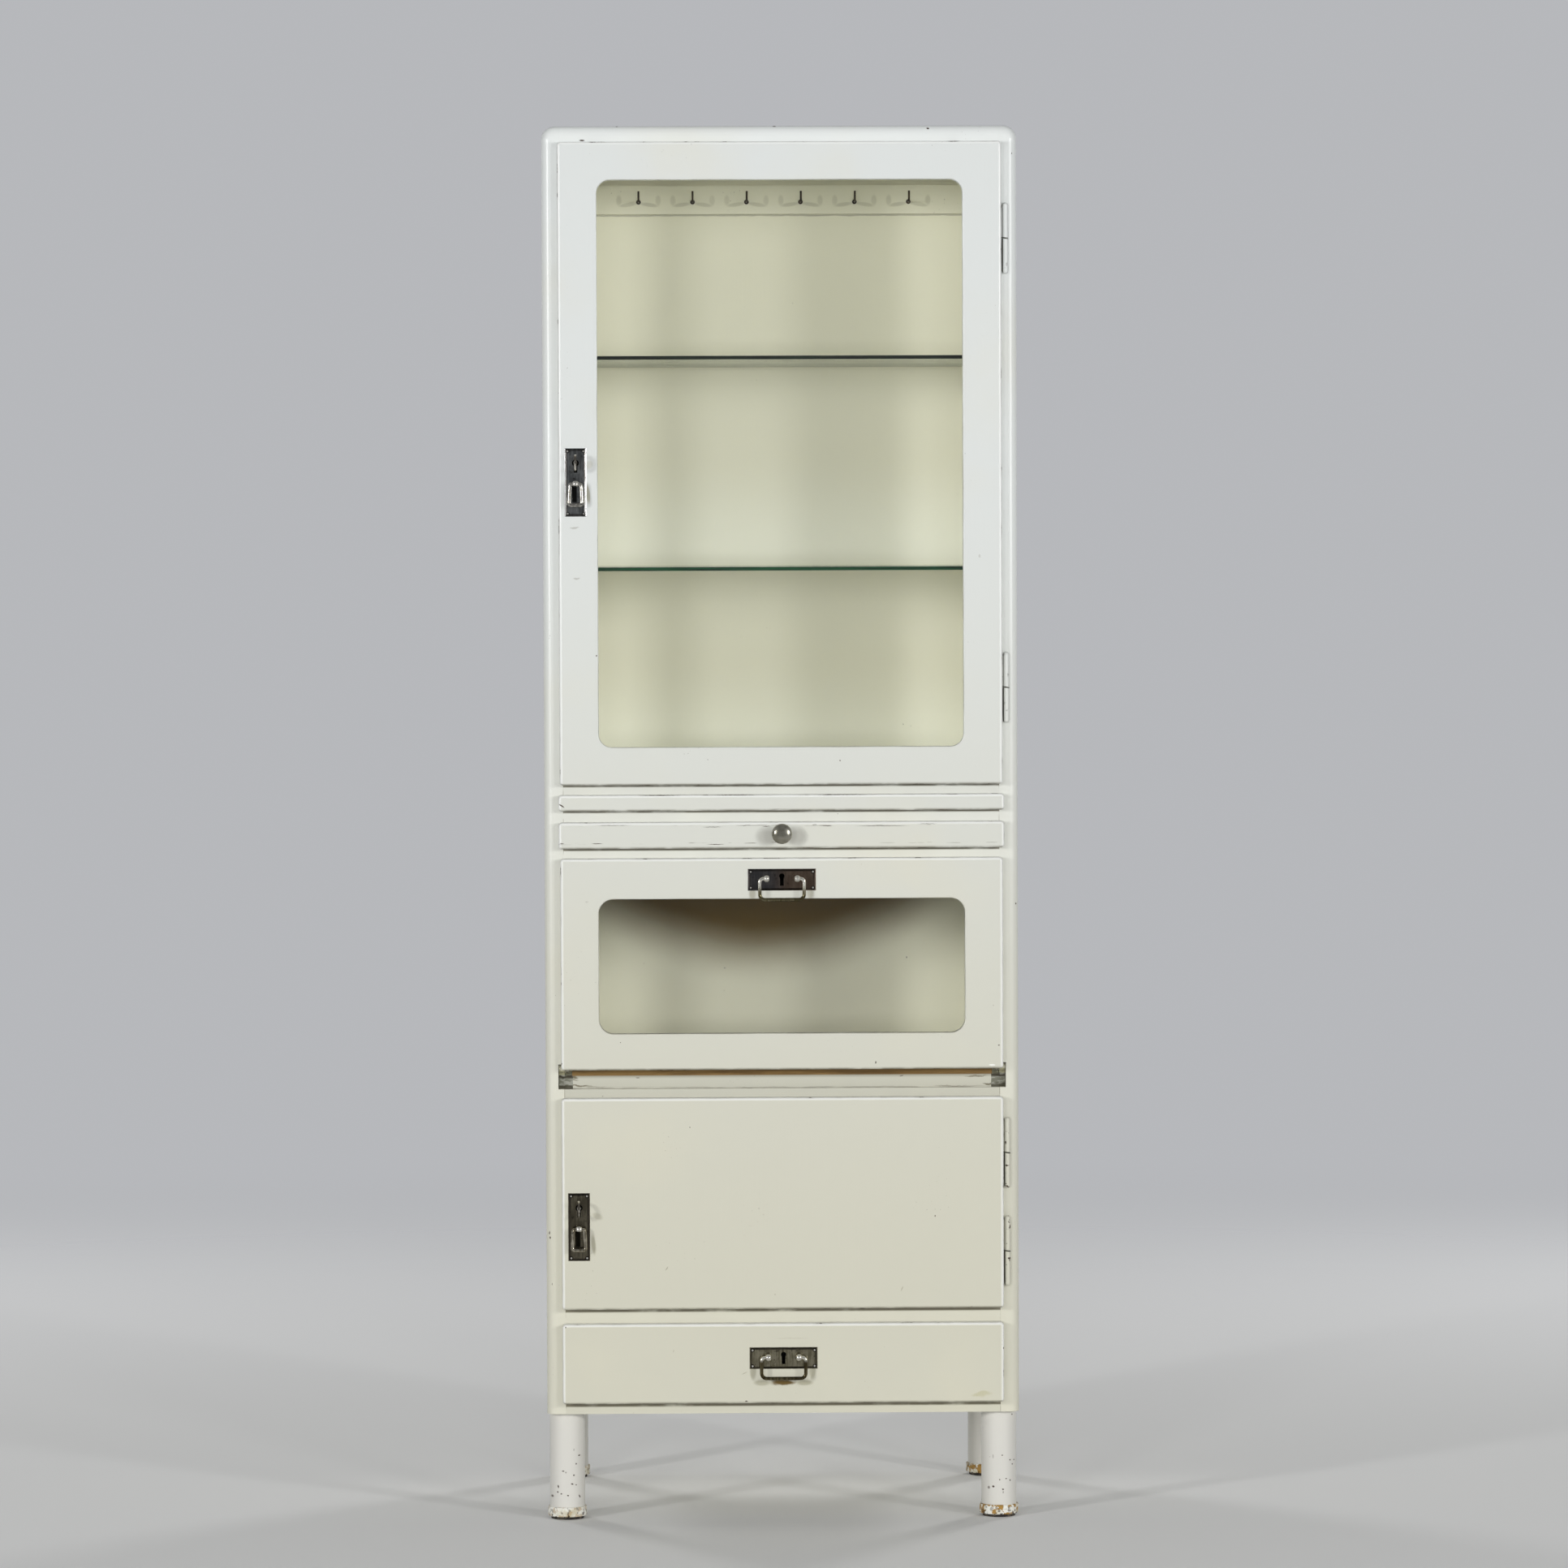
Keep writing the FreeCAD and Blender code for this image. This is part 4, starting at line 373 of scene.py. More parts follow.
levelStrokes = (9.0, 260.0, 260.0)
paintedNodes = {
    "left_side": {
        "inside": True,
        "lift": 9,
        "depth": -0.180,
        "chips": [(-291.0, 361.0, 0.9, 3.0, 8), (-290.2, 355.0, 1.1, 2.2, 0), (-288.0, 297.0, 0.6, 2.0, 0)],
    },
    "right_side": {
        "inside": True,
        "lift": 9,
        "depth": -0.180,
        "chips": [(292.0, 769.5, 1.0, 1.6, 0), (289.0, 1702.0, 0.7, 1.4, 0)],
    },
    "top_board": {
        "inside": True,
        "lift": 11,
        "depth": -0.180,
        "strokes": levelStrokes,
        "chips": [
            (-200.7, 1736.6, 2.2, 0.8, 0),
            (-5.4, 1736.3, 3.0, 0.8, 0),
            (185.0, 1733.0, 2.4, 1.4, 10),
            (-244.0, 1719.0, 5.0, 1.6, 0),
        ],
    },
    "upper_floor": {"inside": True, "lift": 6, "ends": 0.6, "strokes": levelStrokes},
    "board_shelf": {"inside": True, "lift": 10, "ends": 0.6, "strokes": levelStrokes},
    "tray_shelf": {"inside": True, "lift": 12, "ends": 0.6, "strokes": levelStrokes, "bareBelow": 0.8258},
    "flap_floor": {
        "inside": True,
        "insideFrom": -0.1768,
        # painted shade: the sill strip made darker where it sits recessed under the flap
        "lift": -9,
        "ends": 0.9,
        "strokes": levelStrokes,
        "depth": -0.178,
        "shade": (0.5520, 0.5575),
        "cracksAndShadeLines": [(0.5412, 0.0010, 0.56, 0.32), (0.5268, 0.0006, 0.42, 0.25)],
        "chips": [
            (-180.0, 553.6, 3.4, 0.9, 0, 0.6),
            (-224.0, 531.6, 1.6, 0.9, 0, 0.6),
            (149.0, 554.5, 3.0, 0.8, -14, 0.7),
        ],
        "smudgesAndShadows": [
            (-262.0, 554.6, 9.0, 3.4, 4, 0.85),
            (-259.0, 550.6, 6.0, 0.9, 3, 0.7),
            (-254.0, 543.9, 17.0, 1.2, 2, 0.75),
            (-234.0, 542.8, 18.0, 1.0, 1, 0.4),
            (242.0, 554.0, 17.0, 1.6, -2, 0.6),
            (259.0, 543.6, 10.0, 1.4, 0, 0.8),
            (212.0, 541.8, 26.0, 0.9, 0, 0.4),
        ],
        "smudgesAndShadowsTone": (96, 88, 66),
    },
    "lower_floor": {"inside": True, "lift": 8, "ends": 0.6, "strokes": levelStrokes},
    "bottom_board": {"inside": True, "ends": 0.6, "strokes": levelStrokes},
    "back_panel": {
        "inside": True,
        # painted light low in each bay, just above the lower shelf and the upper floor
        "shelfGlow": (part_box("lower_shelf")[1].z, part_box("upper_floor")[1].z),
        # painted shadow line just below the hook rail
        "cracksAndShadeLines": [(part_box("hook_rail")[0].z - 0.0010, 0.0018, 1.0, 0.40)],
        "depth": 0.224,
        # painted shadow in a brown arch at the top of the flap's compartment
        "arch": (-0.0185, 0.753, 1.58, 0.118, 0.026),
        "archTone": (98, 76, 18),
        "chips": [(-67.2, 664.0, 0.8, 0.9, 0), (170.9, 676.7, 0.7, 1.6, 0), (89.1, 702.2, 0.7, 0.7, 0)],
    },
    "hook_rail": {
        "inside": True,
        "strokes": levelStrokes,
        "depth": 0.2095,
        "soft": [
            # painted shadows of each hook on both sides, as the side lamps cast them: the shank's and the
            # upright pin's
            (x + side * reach, z, wide, high, side * tilt, strength)
            for x in (-175.5, -105.3, -35.1, 35.1, 105.3, 175.5)
            for side in (-1, 1)
            for reach, z, wide, high, tilt, strength in (
                (14.0, 1659.6, 15.0, 3.4, 8, 0.32),
                (25.5, 1665.0, 4.6, 9.0, 0, 0.24),
            )
        ],
    },
    "legs": {
        "low": (206, 204, 197),
        "aged": 0.0,
        "depth": -0.1795,
        "chips": [
            (-255.6, 80.5, 1.8, 1.4, 0),
            (-259.4, 70.2, 1.3, 1.4, 0),
            (-275.6, 61.3, 1.8, 1.0, 0),
            (-264.2, 45.0, 2.1, 1.2, 20),
            (-281.8, 41.6, 1.3, 2.5, -12),
            (-289.6, 29.2, 2.7, 2.7, 0),
            (-255.2, 29.0, 1.3, 3.1, -24),
            (-278.0, 32.6, 1.4, 1.0, 0),
            (286.4, 128.6, 1.1, 1.3, 0),
            (283.6, 71.6, 1.3, 1.2, 0),
            (288.8, 71.0, 1.4, 1.7, 0),
            (286.6, 66.0, 1.3, 1.0, 0),
            (262.2, 76.4, 0.8, 3.4, 0, 0.5),
            (278.6, 48.4, 1.5, 1.0, 0),
            (262.4, 38.6, 2.0, 1.7, 0),
            (274.8, 31.4, 1.0, 2.1, 0, 0.6),
            (-262.3, 56.0, 1.3, 1.2, 0),
            (-272.4, 59.6, 1.0, 1.4, 0, 0.7),
            (-259.4, 43.7, 1.2, 1.0, 0),
            (-282.6, 34.8, 1.2, 1.6, 0),
            (-269.6, 30.7, 1.6, 1.2, 14),
            (-262.0, 88.0, 0.7, 1.8, 0, 0.6),
            (273.6, 78.0, 0.9, 1.1, 0),
            (270.4, 47.3, 1.1, 1.4, 0, 0.8),
            (274.5, 35.0, 1.5, 1.2, 0),
            (283.5, 46.0, 1.0, 1.8, 0),
            (256.9, 37.0, 2.0, 2.6, 10, 0.7),
        ],
        "specks": 0.9,
    },
    "upper_door_frame": {
        "rim": "upper_door_frame",
        "bore": (-0.2538, 1.3195),
        # painted shadows of the ring pull and of the key, cast to the right
        "soft": [(-238.4, 1281.0, 3.4, 15.0, -6, 0.75), (-237.0, 1317.5, 6.0, 7.5, 20, 0.40)],
        "window": (0.2265, 0.9668, 1.6692, 0.0165),
        "chips": [
            (-276.1, 1082.9, 1.4, 2.0, 0),
            (-228.8, 1080.7, 1.0, 1.6, 0),
            (72.9, 949.5, 0.9, 1.2, 0),
            (-231.0, 1716.4, 7.0, 1.0, 0),
            (216.0, 1716.4, 10.0, 1.2, 0),
        ],
        "smudgesAndShadows": [
            (-255.2, 1239.7, 8.0, 1.4, -6, 0.5),
            (-252.5, 1176.4, 5.0, 1.6, 0, 0.5),
            (247.0, 1202.7, 2.0, 2.6, 0, 0.35),
        ],
    },
    "upper_door_beads": {"strokes": levelStrokes},
    "pull_out_board": {
        "rim": "pull_out_board",
        "strokes": levelStrokes,
        "cracksAndShadeLines": [(0.9068, 0.0008, 0.36, 0.8), (0.8888, 0.0008, 0.33, 0.8)],
        "chips": [
            (-273.0, 894.6, 5.0, 1.1, 35),
            (-150.0, 907.0, 30.0, 0.5, 0),
            (-60.0, 907.0, 36.0, 0.4, 0),
            (72.0, 907.0, 36.0, 0.45, 0),
        ],
    },
    "tray_front": {
        "rim": "tray_front",
        "strokes": levelStrokes,
        "cracksAndShadeLines": [(0.8693, 0.0010, 0.36, 0.8), (0.8472, 0.0014, 0.36, 0.8)],
        # painted shadows of the knob, cast to both sides
        "smudgesAndShadows": [(-19.0, 855.0, 14.0, 12.0, 0, 0.34), (19.0, 855.0, 14.0, 12.0, 0, 0.34)],
        "chips": [
            (-209.0, 870.0, 27.0, 0.35, 0),
            (-86.0, 867.6, 15.0, 0.4, 0),
            (-44.0, 869.4, 6.5, 0.45, -4),
            (-19.0, 868.2, 6.5, 0.4, 0),
            (41.0, 870.0, 3.5, 0.5, 0),
            (55.0, 868.6, 10.0, 0.6, 3),
            (125.0, 868.1, 40.0, 0.4, 0),
            (181.0, 870.4, 15.0, 0.35, 0),
            (-273.0, 847.6, 3.5, 0.5, 0),
            (-229.0, 847.4, 8.5, 0.5, 0),
            (-82.0, 845.9, 13.0, 0.45, 0),
            (-6.0, 848.4, 9.5, 0.35, 0),
        ],
    },
    "flap_frame": {
        "rim": "flap_frame",
        "bore": (0.0, 0.8061),
        # painted shadows of the bail's arms, to both sides
        "soft": [(-36.5, 784.5, 5.4, 9.5, 0, 0.50), (35.5, 784.5, 5.4, 9.5, 0, 0.50)],
        "window": (0.2275, 0.6105, 0.7780, 0.018),
        "strokes": levelStrokes,
        "chips": [
            (116.0, 573.5, 0.9, 2.2, 8),
            (90.9, 612.0, 1.8, 0.9, 0),
            (269.3, 594.2, 1.2, 1.0, 0),
            (-201.3, 599.9, 0.7, 0.8, 0),
            (-275.0, 573.5, 1.2, 2.0, 0),
        ],
        "smudgesAndShadows": [(-242.5, 775.4, 3.0, 1.2, -20, 0.35)],
        # painted highlight on a raised run of paint at the corner
        "pale": [(261.0, 569.7, 5.0, 1.4, 0, 0.8)],
    },
    "flap_beads": {"strokes": levelStrokes},
    "lower_door_panel": {
        "rim": "lower_door_panel",
        "bore": (-0.2538, 0.3940),
        # painted shadows of the ring pull and of the key, cast to the right
        "soft": [(-236.0, 348.0, 3.6, 16.0, -6, 0.60), (-231.0, 383.5, 9.0, 5.0, 28, 0.35)],
        "chips": [(98.3, 266.2, 5.0, 0.8, 0), (189.2, 381.6, 0.7, 1.4, 0), (-115.5, 493.7, 0.6, 1.2, 0)],
        "scratches": [
            (-145.0, 317.6, 0.9, 4.0, 30, 0.7),
            (147.9, 290.8, 0.8, 4.2, 24, 0.7),
            (-10.3, 284.4, 0.8, 1.4, 0, 0.6),
        ],
    },
    "drawer_front": {
        "rim": "drawer_front",
        "bore": (0.0, 0.2094),
        # painted shadows of the bail, beside its arms and under its bar
        "soft": [
            (-38.0, 189.0, 5.2, 14.0, 0, 0.55),
            (36.0, 189.0, 5.2, 14.0, 0, 0.60),
            (-27.0, 174.0, 13.0, 4.6, 0, 0.60),
            (26.0, 174.0, 13.0, 4.6, 0, 0.70),
        ],
        "strokes": levelStrokes,
        "chips": [(-271.2, 244.8, 0.9, 1.4, 0), (274.6, 215.6, 1.0, 1.4, 0), (-46.6, 151.1, 2.0, 1.0, 0)],
        "scratches": [
            (-48.6, 186.3, 4.6, 0.7, -24, 0.7),
            (-137.1, 214.6, 0.7, 2.4, 14, 0.5),
            (10.0, 229.6, 26.0, 0.5, 0, 0.4),
        ],
        "stains": [(246.0, 158.0, 15.0, 4.2, -8, 0.7)],
        "stainsTone": (182, 178, 146),
        # painted shadow of the bail right under its bar, warmed as by its brassy reflection
        "smudgesAndShadows": [(0.0, 174.6, 19.0, 4.4, 0, 1.0)],
        "smudgesAndShadowsTone": (98, 78, 36),
    },
}
for nodeName, look in paintedNodes.items():
    cadNodes[nodeName].data.materials.clear()
    cadNodes[nodeName].data.materials.append(paintSkin(nodeName + "Paint", look))
print("paint mixed for", len(paintedNodes), "nodes")

nickelLook = {
    "tarnish": (46, 41, 37),
    "paintedBlack": (13, 13, 10),
    "nailRing": (16, 14, 12),
    "glint": (238, 235, 226),
    "paintedHighlight": (236, 233, 222),
    "nailInset": 0.0036,
    "standsOut": (-0.2070, -0.2078),
    "liesBack": (-0.2070, -0.2064),
    "caseFace": -0.1925,
}


def nickelSkin(
    name, bright, dull, wear=0.5, sideTones=None, paintedBlack=None, plate=None, keyway=None, crown=None
):
    # worn nickel plate: streaked, darker where it has tarnished
    skin, spot = startSkin(name)
    dirt = tone(*nickelLook["tarnish"])
    x, y, z = spot.parts()
    streaks = noise(spot, 1.0, 4.0, (520.0, 520.0, 46.0))
    cloud = noise(spot, 95.0, 4.0)
    worn = (streaks * 0.55 + cloud * 0.45).rise(0.42, 0.62)
    base = blend(tone(*dull), tone(*bright), worn * wear)
    if sideTones:
        # a painted reflection of the room: bluish on the left, brownish on the right
        left, right = (tone(*side) for side in sideTones)
        base = blend(base, blend(left, right, x.rise(-0.018, 0.012)), 0.62)
    base = blend(base, dirt, noise(spot, 260.0, 3.0).rise(0.60, 0.72) * 0.7)
    rough = 0.12 + cloud * 0.16 + streaks * 0.06
    if plate:
        # a dark band along the bevel, a painted dark reflection beside the lamp's glint, and a dark ring
        # round each nail head
        low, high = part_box(plate)
        across = (x - low.x).least(high.x - x)
        along = (z - low.z).least(high.z - z)
        rim = across.least(along)
        line = rim.rise(0.0005, 0.0011) * rim.rise(0.0034, 0.0026) * (cloud.rise(0.30, 0.60) * 0.4 + 0.5)
        base = blend(base, dirt, line)
        inset = nickelLook["nailInset"]
        nail = ((across - inset) ** 2.0 + (along - inset) ** 2.0) ** 0.5
        ring = nail.rise(0.0012, 0.0015) * nail.rise(0.0027, 0.0020) * 0.85
        base = blend(base, tone(*nickelLook["nailRing"]), ring)
        # painted highlight on the nail heads and on the posts that stand out of the plate
        glinted = nail.rise(0.0013, 0.0010).most(y.rise(*nickelLook["standsOut"]))
        base = blend(base, tone(*nickelLook["glint"]), glinted * 0.9)
        rough = rough + glinted * 0.06
    if keyway:
        # painted shade: the keyhole and its slot made black, as a deep hole looks
        middle, level, reach = keyway
        hole = (((x - middle) ** 2.0 + (z - level) ** 2.0) ** 0.5).rise(reach + 0.0002, reach)
        hole = hole * y.rise(*nickelLook["liesBack"])
        slot = (x - middle).size().rise(0.0024, 0.0022)
        slot = slot * z.rise(level - 0.0120, level - 0.0118) * z.rise(level, level - 0.001)
        base = blend(base, tone(*nickelLook["paintedBlack"]), hole.most(slot))
        rough = rough + hole.most(slot) * 0.5
    if paintedBlack:
        # painted dark reflection on the plate behind the ring: left, right, low and high
        left, right, foot, head = paintedBlack
        black = x.rise(left - 0.0004, left + 0.0004) * x.rise(right + 0.0005, right - 0.0005)
        black = black * z.rise(foot - 0.0004, foot + 0.0004) * z.rise(head + 0.0004, head - 0.0004)
        base = blend(base, tone(*nickelLook["paintedBlack"]), black * 0.94)
    if crown:
        # painted highlight on the tops of the bails
        piece, reach = crown
        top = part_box(piece)[1].z
        base = blend(base, tone(*nickelLook["paintedHighlight"]), z.rise(top - reach, top - reach * 0.35))
    return solidSkin(skin, base, rough, streaks + cloud * 0.7, 0.00012, 0.30, 1.0)


def plainMetal(name, bright, dark, scale, rough, darkHoles=()):
    # clouded metal without plating wear; its last argument lists the keyholes in front of it, behind which
    # painted shade is put
    skin, spot = startSkin(name)
    cloud = noise(spot, scale, 4.0)
    base = blend(tone(*dark), tone(*bright), cloud.rise(0.36, 0.62))
    for x, z in darkHoles:
        # painted shade: black behind a keyhole, where the hole looks deep
        holeShade = blot(spot, nickelLook["caseFace"], (x, z, 12.0, 16.0, 0))
        base = blend(base, tone(*nickelLook["paintedBlack"]), holeShade)
    return solidSkin(skin, base, rough + cloud * 0.25, cloud, 0.0002, 0.3, 1.0)


hingeLook = {
    "middles": (1.5965, 1.0395, 0.4595, 0.3365),
    "half": 0.0445,
    "doorEdge": 0.2750,
    "flank": 0.2772,
    "pin": 0.28,
    "slant": 0.12,
    "jointAndGapShade": (70, 70, 60),
}


def hingeSkin(name):
    # hinges painted over: dark worn ends, a dark joint between the knuckles, and painted shade in the gap
    # along the door's edge
    skin, spot = startSkin(name)
    x, y, z = spot.parts()
    # warmer and darker lower down, the same painted floor bounce and lamp falloff as the paint
    cooler = z.rise(paintLook["coolFrom"], paintLook["coolTo"])
    base = blend(tone(*paintLook["low"]), tone(*paintLook["high"]), cooler)
    wear = noise(spot, 150.0, 4.0).rise(0.62, 0.67)
    base = blend(base, tone(*paintLook["chip"]), wear * z.rise(1.2, 0.5).most(0.35))
    joint = lower = None
    slope = (x - hingeLook["pin"]) * hingeLook["slant"]
    for middle in hingeLook["middles"]:
        split = (z + slope - middle).size().rise(0.0012, 0.0006)
        foot = middle - hingeLook["half"]
        half = z.rise(middle, middle - 0.001) * z.rise(foot, foot + 0.003)
        joint, lower = stronger(joint, split), stronger(lower, half)
    # painted shade in the gap between the door's edge and the knuckles, darker on each lower knuckle
    doorEdge, flank = hingeLook["doorEdge"], hingeLook["flank"]
    side = x.rise(flank + 0.0006, flank - 0.0002) * x.rise(doorEdge, doorEdge + 0.0006)
    dirt = joint.most(side * (lower * 0.45 + 0.5)) * y.rise(-0.188, -0.190)
    base = blend(base, tone(*hingeLook["jointAndGapShade"]), dirt)
    relief = noise(spot, 210.0, 3.0)
    return solidSkin(skin, base, 0.34 + relief * 0.2, relief - wear, 0.0004, 0.5)


# colours of the iron feet in the sill, and the heights between which each band fades in
bracketLook = {
    "iron": ((118, 118, 104), (158, 158, 147)),
    "footDirt": ((66, 62, 46), (0.5462, 0.5436)),
    "shadowLine": ((52, 46, 32), 0.5552),
    "dusty": ((168, 164, 134), (0.5572, 0.5586)),
    "painted": ((212, 209, 188), (0.5630, 0.5650)),
}


def bracketSkin(name):
    # grey, rubbed through old paint, dark where dirt sits, with a painted shadow line across it under the
    # flap
    skin, spot = startSkin(name)
    x, y, z = spot.parts()
    cloud = noise(spot, 120.0, 5.0, (1.0, 1.0, 2.2))
    level = z + (cloud - 0.5) * 0.006
    dark, light = bracketLook["iron"]
    base = blend(tone(*dark), tone(*light), cloud.rise(0.44, 0.60))
    dirt, band = bracketLook["footDirt"]
    base = blend(base, tone(*dirt), level.rise(*band) * 0.85)
    # painted shadow line under the foot of the flap
    dirt, line = bracketLook["shadowLine"]
    base = blend(base, tone(*dirt), (level - line).size().rise(0.0026, 0.0008) * 0.9)
    for colour, band in (bracketLook["dusty"], bracketLook["painted"]):
        base = blend(base, tone(*colour), level.rise(*band))
    return solidSkin(skin, base, 0.5 + cloud * 0.2, cloud, 0.0006, 0.6, 0.25)


smallLook = {
    "woodPores": (112, 86, 56),
    "ringPaint": ((224, 223, 214), (190, 182, 158)),
    "ringOchre": (158, 122, 58),
    "ringRust": (58, 42, 28),
    "rubber": ((34, 30, 27), (92, 84, 72)),
    "enamel": ((48, 36, 28), (78, 62, 48)),
}


def woodSkin(name, pale, dark, along):
    # bare beech, grain running along one axis
    skin, spot = startSkin(name)
    grain = noise(spot, 1.0, 5.0, tuple(8.0 if axis == along else 130.0 for axis in "xyz"), 0.6)
    pores = noise(spot, 1.0, 2.0, tuple(40.0 if axis == along else 1400.0 for axis in "xyz"))
    base = blend(tone(*dark), tone(*pale), grain.rise(0.34, 0.66))
    base = blend(base, tone(*smallLook["woodPores"]), pores.rise(0.60, 0.75) * 0.5)
    return solidSkin(skin, base, 0.55 + grain * 0.15, grain - pores * 0.5, 0.0003, 0.4)


glassGloss = {"Color": (0.95, 0.97, 0.96, 1.0), "Roughness": 0.03}
shelfEdges = {"front": (-0.1737, -0.1739), "back": (0.1997, 0.1999), "side": (0.2697, 0.2699)}


def sheen():
    # the share that a glass face mirrors, the same from both sides
    return Wire.node("LayerWeight", {}, {"Blend": 0.5}, 1) ** 5.0 * 0.96 + 0.04


def paneSkin(name, tint, dust):
    # clear glass: see-through, with a gloss that grows towards grazing, and a breath of dust
    skin, spot = startSkin(name)
    film = noise(spot, 5.0, 4.0).rise(0.50, 0.80) * dust
    clear = Wire.node("BsdfTransparent", {}, {"Color": tint})
    shine = Wire.node("BsdfGlossy", {}, glassGloss)
    milk = Wire.node("BsdfDiffuse", {}, {"Color": (0.8, 0.8, 0.78, 1.0)})
    body = Wire.node("MixShader", {}, {0: sheen() * 0.4, 1: clear, 2: shine})
    return closeSkin(skin, Wire.node("MixShader", {}, {0: film, 1: body, 2: milk}))


def shelfSkin(name, edgeDark, edgeGreen):
    # plate glass: clear through its faces, dark green into its edges
    skin, spot = startSkin(name)
    x, y, z = spot.parts()
    edge = y.rise(*shelfEdges["front"]).most(y.rise(*shelfEdges["back"]))
    edge = edge.most(x.size().rise(*shelfEdges["side"]))
    clear = Wire.node("BsdfTransparent", {}, {"Color": (0.975, 0.99, 0.98, 1.0)})
    shine = Wire.node("BsdfGlossy", {}, glassGloss)
    plate = Wire.node("MixShader", {}, {0: sheen() * 0.8, 1: clear, 2: shine})
    streak = noise(spot, 1.0, 3.0, (14.0, 1.0, 700.0))
    green = blend(edgeDark, edgeGreen, streak.rise(0.40, 0.62))
    cut = Wire.node("BsdfPrincipled", {}, {"Base Color": green, "Roughness": 0.12})
    return closeSkin(skin, Wire.node("MixShader", {}, {0: edge, 1: plate, 2: cut}))


def ferruleSkin(name):
    # painted ring, chipped through to ochre and rust, worst at its foot
    skin, spot = startSkin(name)
    x, y, z = spot.parts()
    fresh, dull = (tone(*paint) for paint in smallLook["ringPaint"])
    base = blend(fresh, dull, noise(spot, 60.0, 3.0).rise(0.44, 0.70))
    ochre = noise(spot, 150.0, 4.0).rise(0.50, 0.57) * (x.rise(-0.1, 0.1) * 0.5 + 0.5)
    base = blend(base, tone(*smallLook["ringOchre"]), ochre)
    rust = noise(spot, 210.0, 4.0).rise(0.55, 0.60) * z.rise(0.0165, 0.003).most(0.50)
    base = blend(base, tone(*smallLook["ringRust"]), rust)
    return solidSkin(skin, base, 0.5 + rust * 0.3, 1.0 - ochre - rust, 0.0006, 0.6)


def gliderSkin(name):
    # dark glides under the feet, dusty
    skin, spot = startSkin(name)
    dust = noise(spot, 190.0, 4.0)
    clean, dusty = (tone(*rubber) for rubber in smallLook["rubber"])
    base = blend(clean, dusty, dust.rise(0.45, 0.72))
    return solidSkin(skin, base, 0.75, dust, 0.0003, 0.5)


def enamelSkin(name):
    # hooks in dark brown enamel
    skin, spot = startSkin(name)
    cloud = noise(spot, 130.0, 4.0)
    dark, light = (tone(*enamel) for enamel in smallLook["enamel"])
    base = blend(dark, light, cloud.rise(0.45, 0.68))
    return solidSkin(skin, base, 0.38 + cloud * 0.2, cloud, 0.0003, 0.4, 0.3)


upperPlate = nickelSkin(
    "upperPlateNickel",
    (176, 178, 178),
    (104, 106, 106),
    paintedBlack=(-0.2584, -0.2522, 1.2710, 1.2915),
    plate="upper_door_lock_plate",
    keyway=(-0.2538, 1.3195, 0.0042),
)
lowerPlate = nickelSkin(
    "lowerPlateNickel",
    (146, 139, 120),
    (92, 86, 72),
    paintedBlack=(-0.2584, -0.2522, 0.3455, 0.3660),
    plate="lower_door_lock_plate",
    keyway=(-0.2538, 0.3940, 0.0042),
)
flapNickel = nickelSkin(
    "flapNickel",
    (172, 160, 148),
    (84, 74, 66),
    0.4,
    ((80, 84, 90), (120, 100, 84)),
    plate="flap_lock_plate",
    keyway=(0.0, 0.8061, 0.0033),
)
drawerNickel = nickelSkin(
    "drawerNickel",
    (186, 180, 158),
    (116, 110, 90),
    plate="drawer_lock_plate",
    keyway=(0.0, 0.2094, 0.0033),
)
pullNickel = nickelSkin("pullNickel", (222, 220, 214), (150, 146, 138), 0.8)
dullPullNickel = nickelSkin("dullPullNickel", (212, 206, 190), (118, 110, 92), 0.7)
flapBail = nickelSkin("flapBailNickel", (170, 162, 134), (88, 80, 54), 0.6, crown=("flap_bail", 0.020))
drawerBail = nickelSkin("drawerBailNickel", (140, 130, 100), (66, 58, 38), 0.6, crown=("drawer_bail", 0.009))
knobNickel = plainMetal("knobNickel", (180, 177, 164), (142, 138, 122), 40.0, 0.10)
keySteel = plainMetal("keySteel", (226, 222, 212), (120, 113, 102), 120.0, 0.14)
keyholes = ((-253.8, 1314.5), (-253.8, 389.0), (0.0, 801.1), (0.0, 204.4))
lockSteel = plainMetal("lockSteel", (150, 146, 138), (96, 90, 80), 90.0, 0.34, keyholes)
bareSteel = plainMetal("bareSteel", (196, 193, 180), (120, 114, 94), 110.0, 0.42)
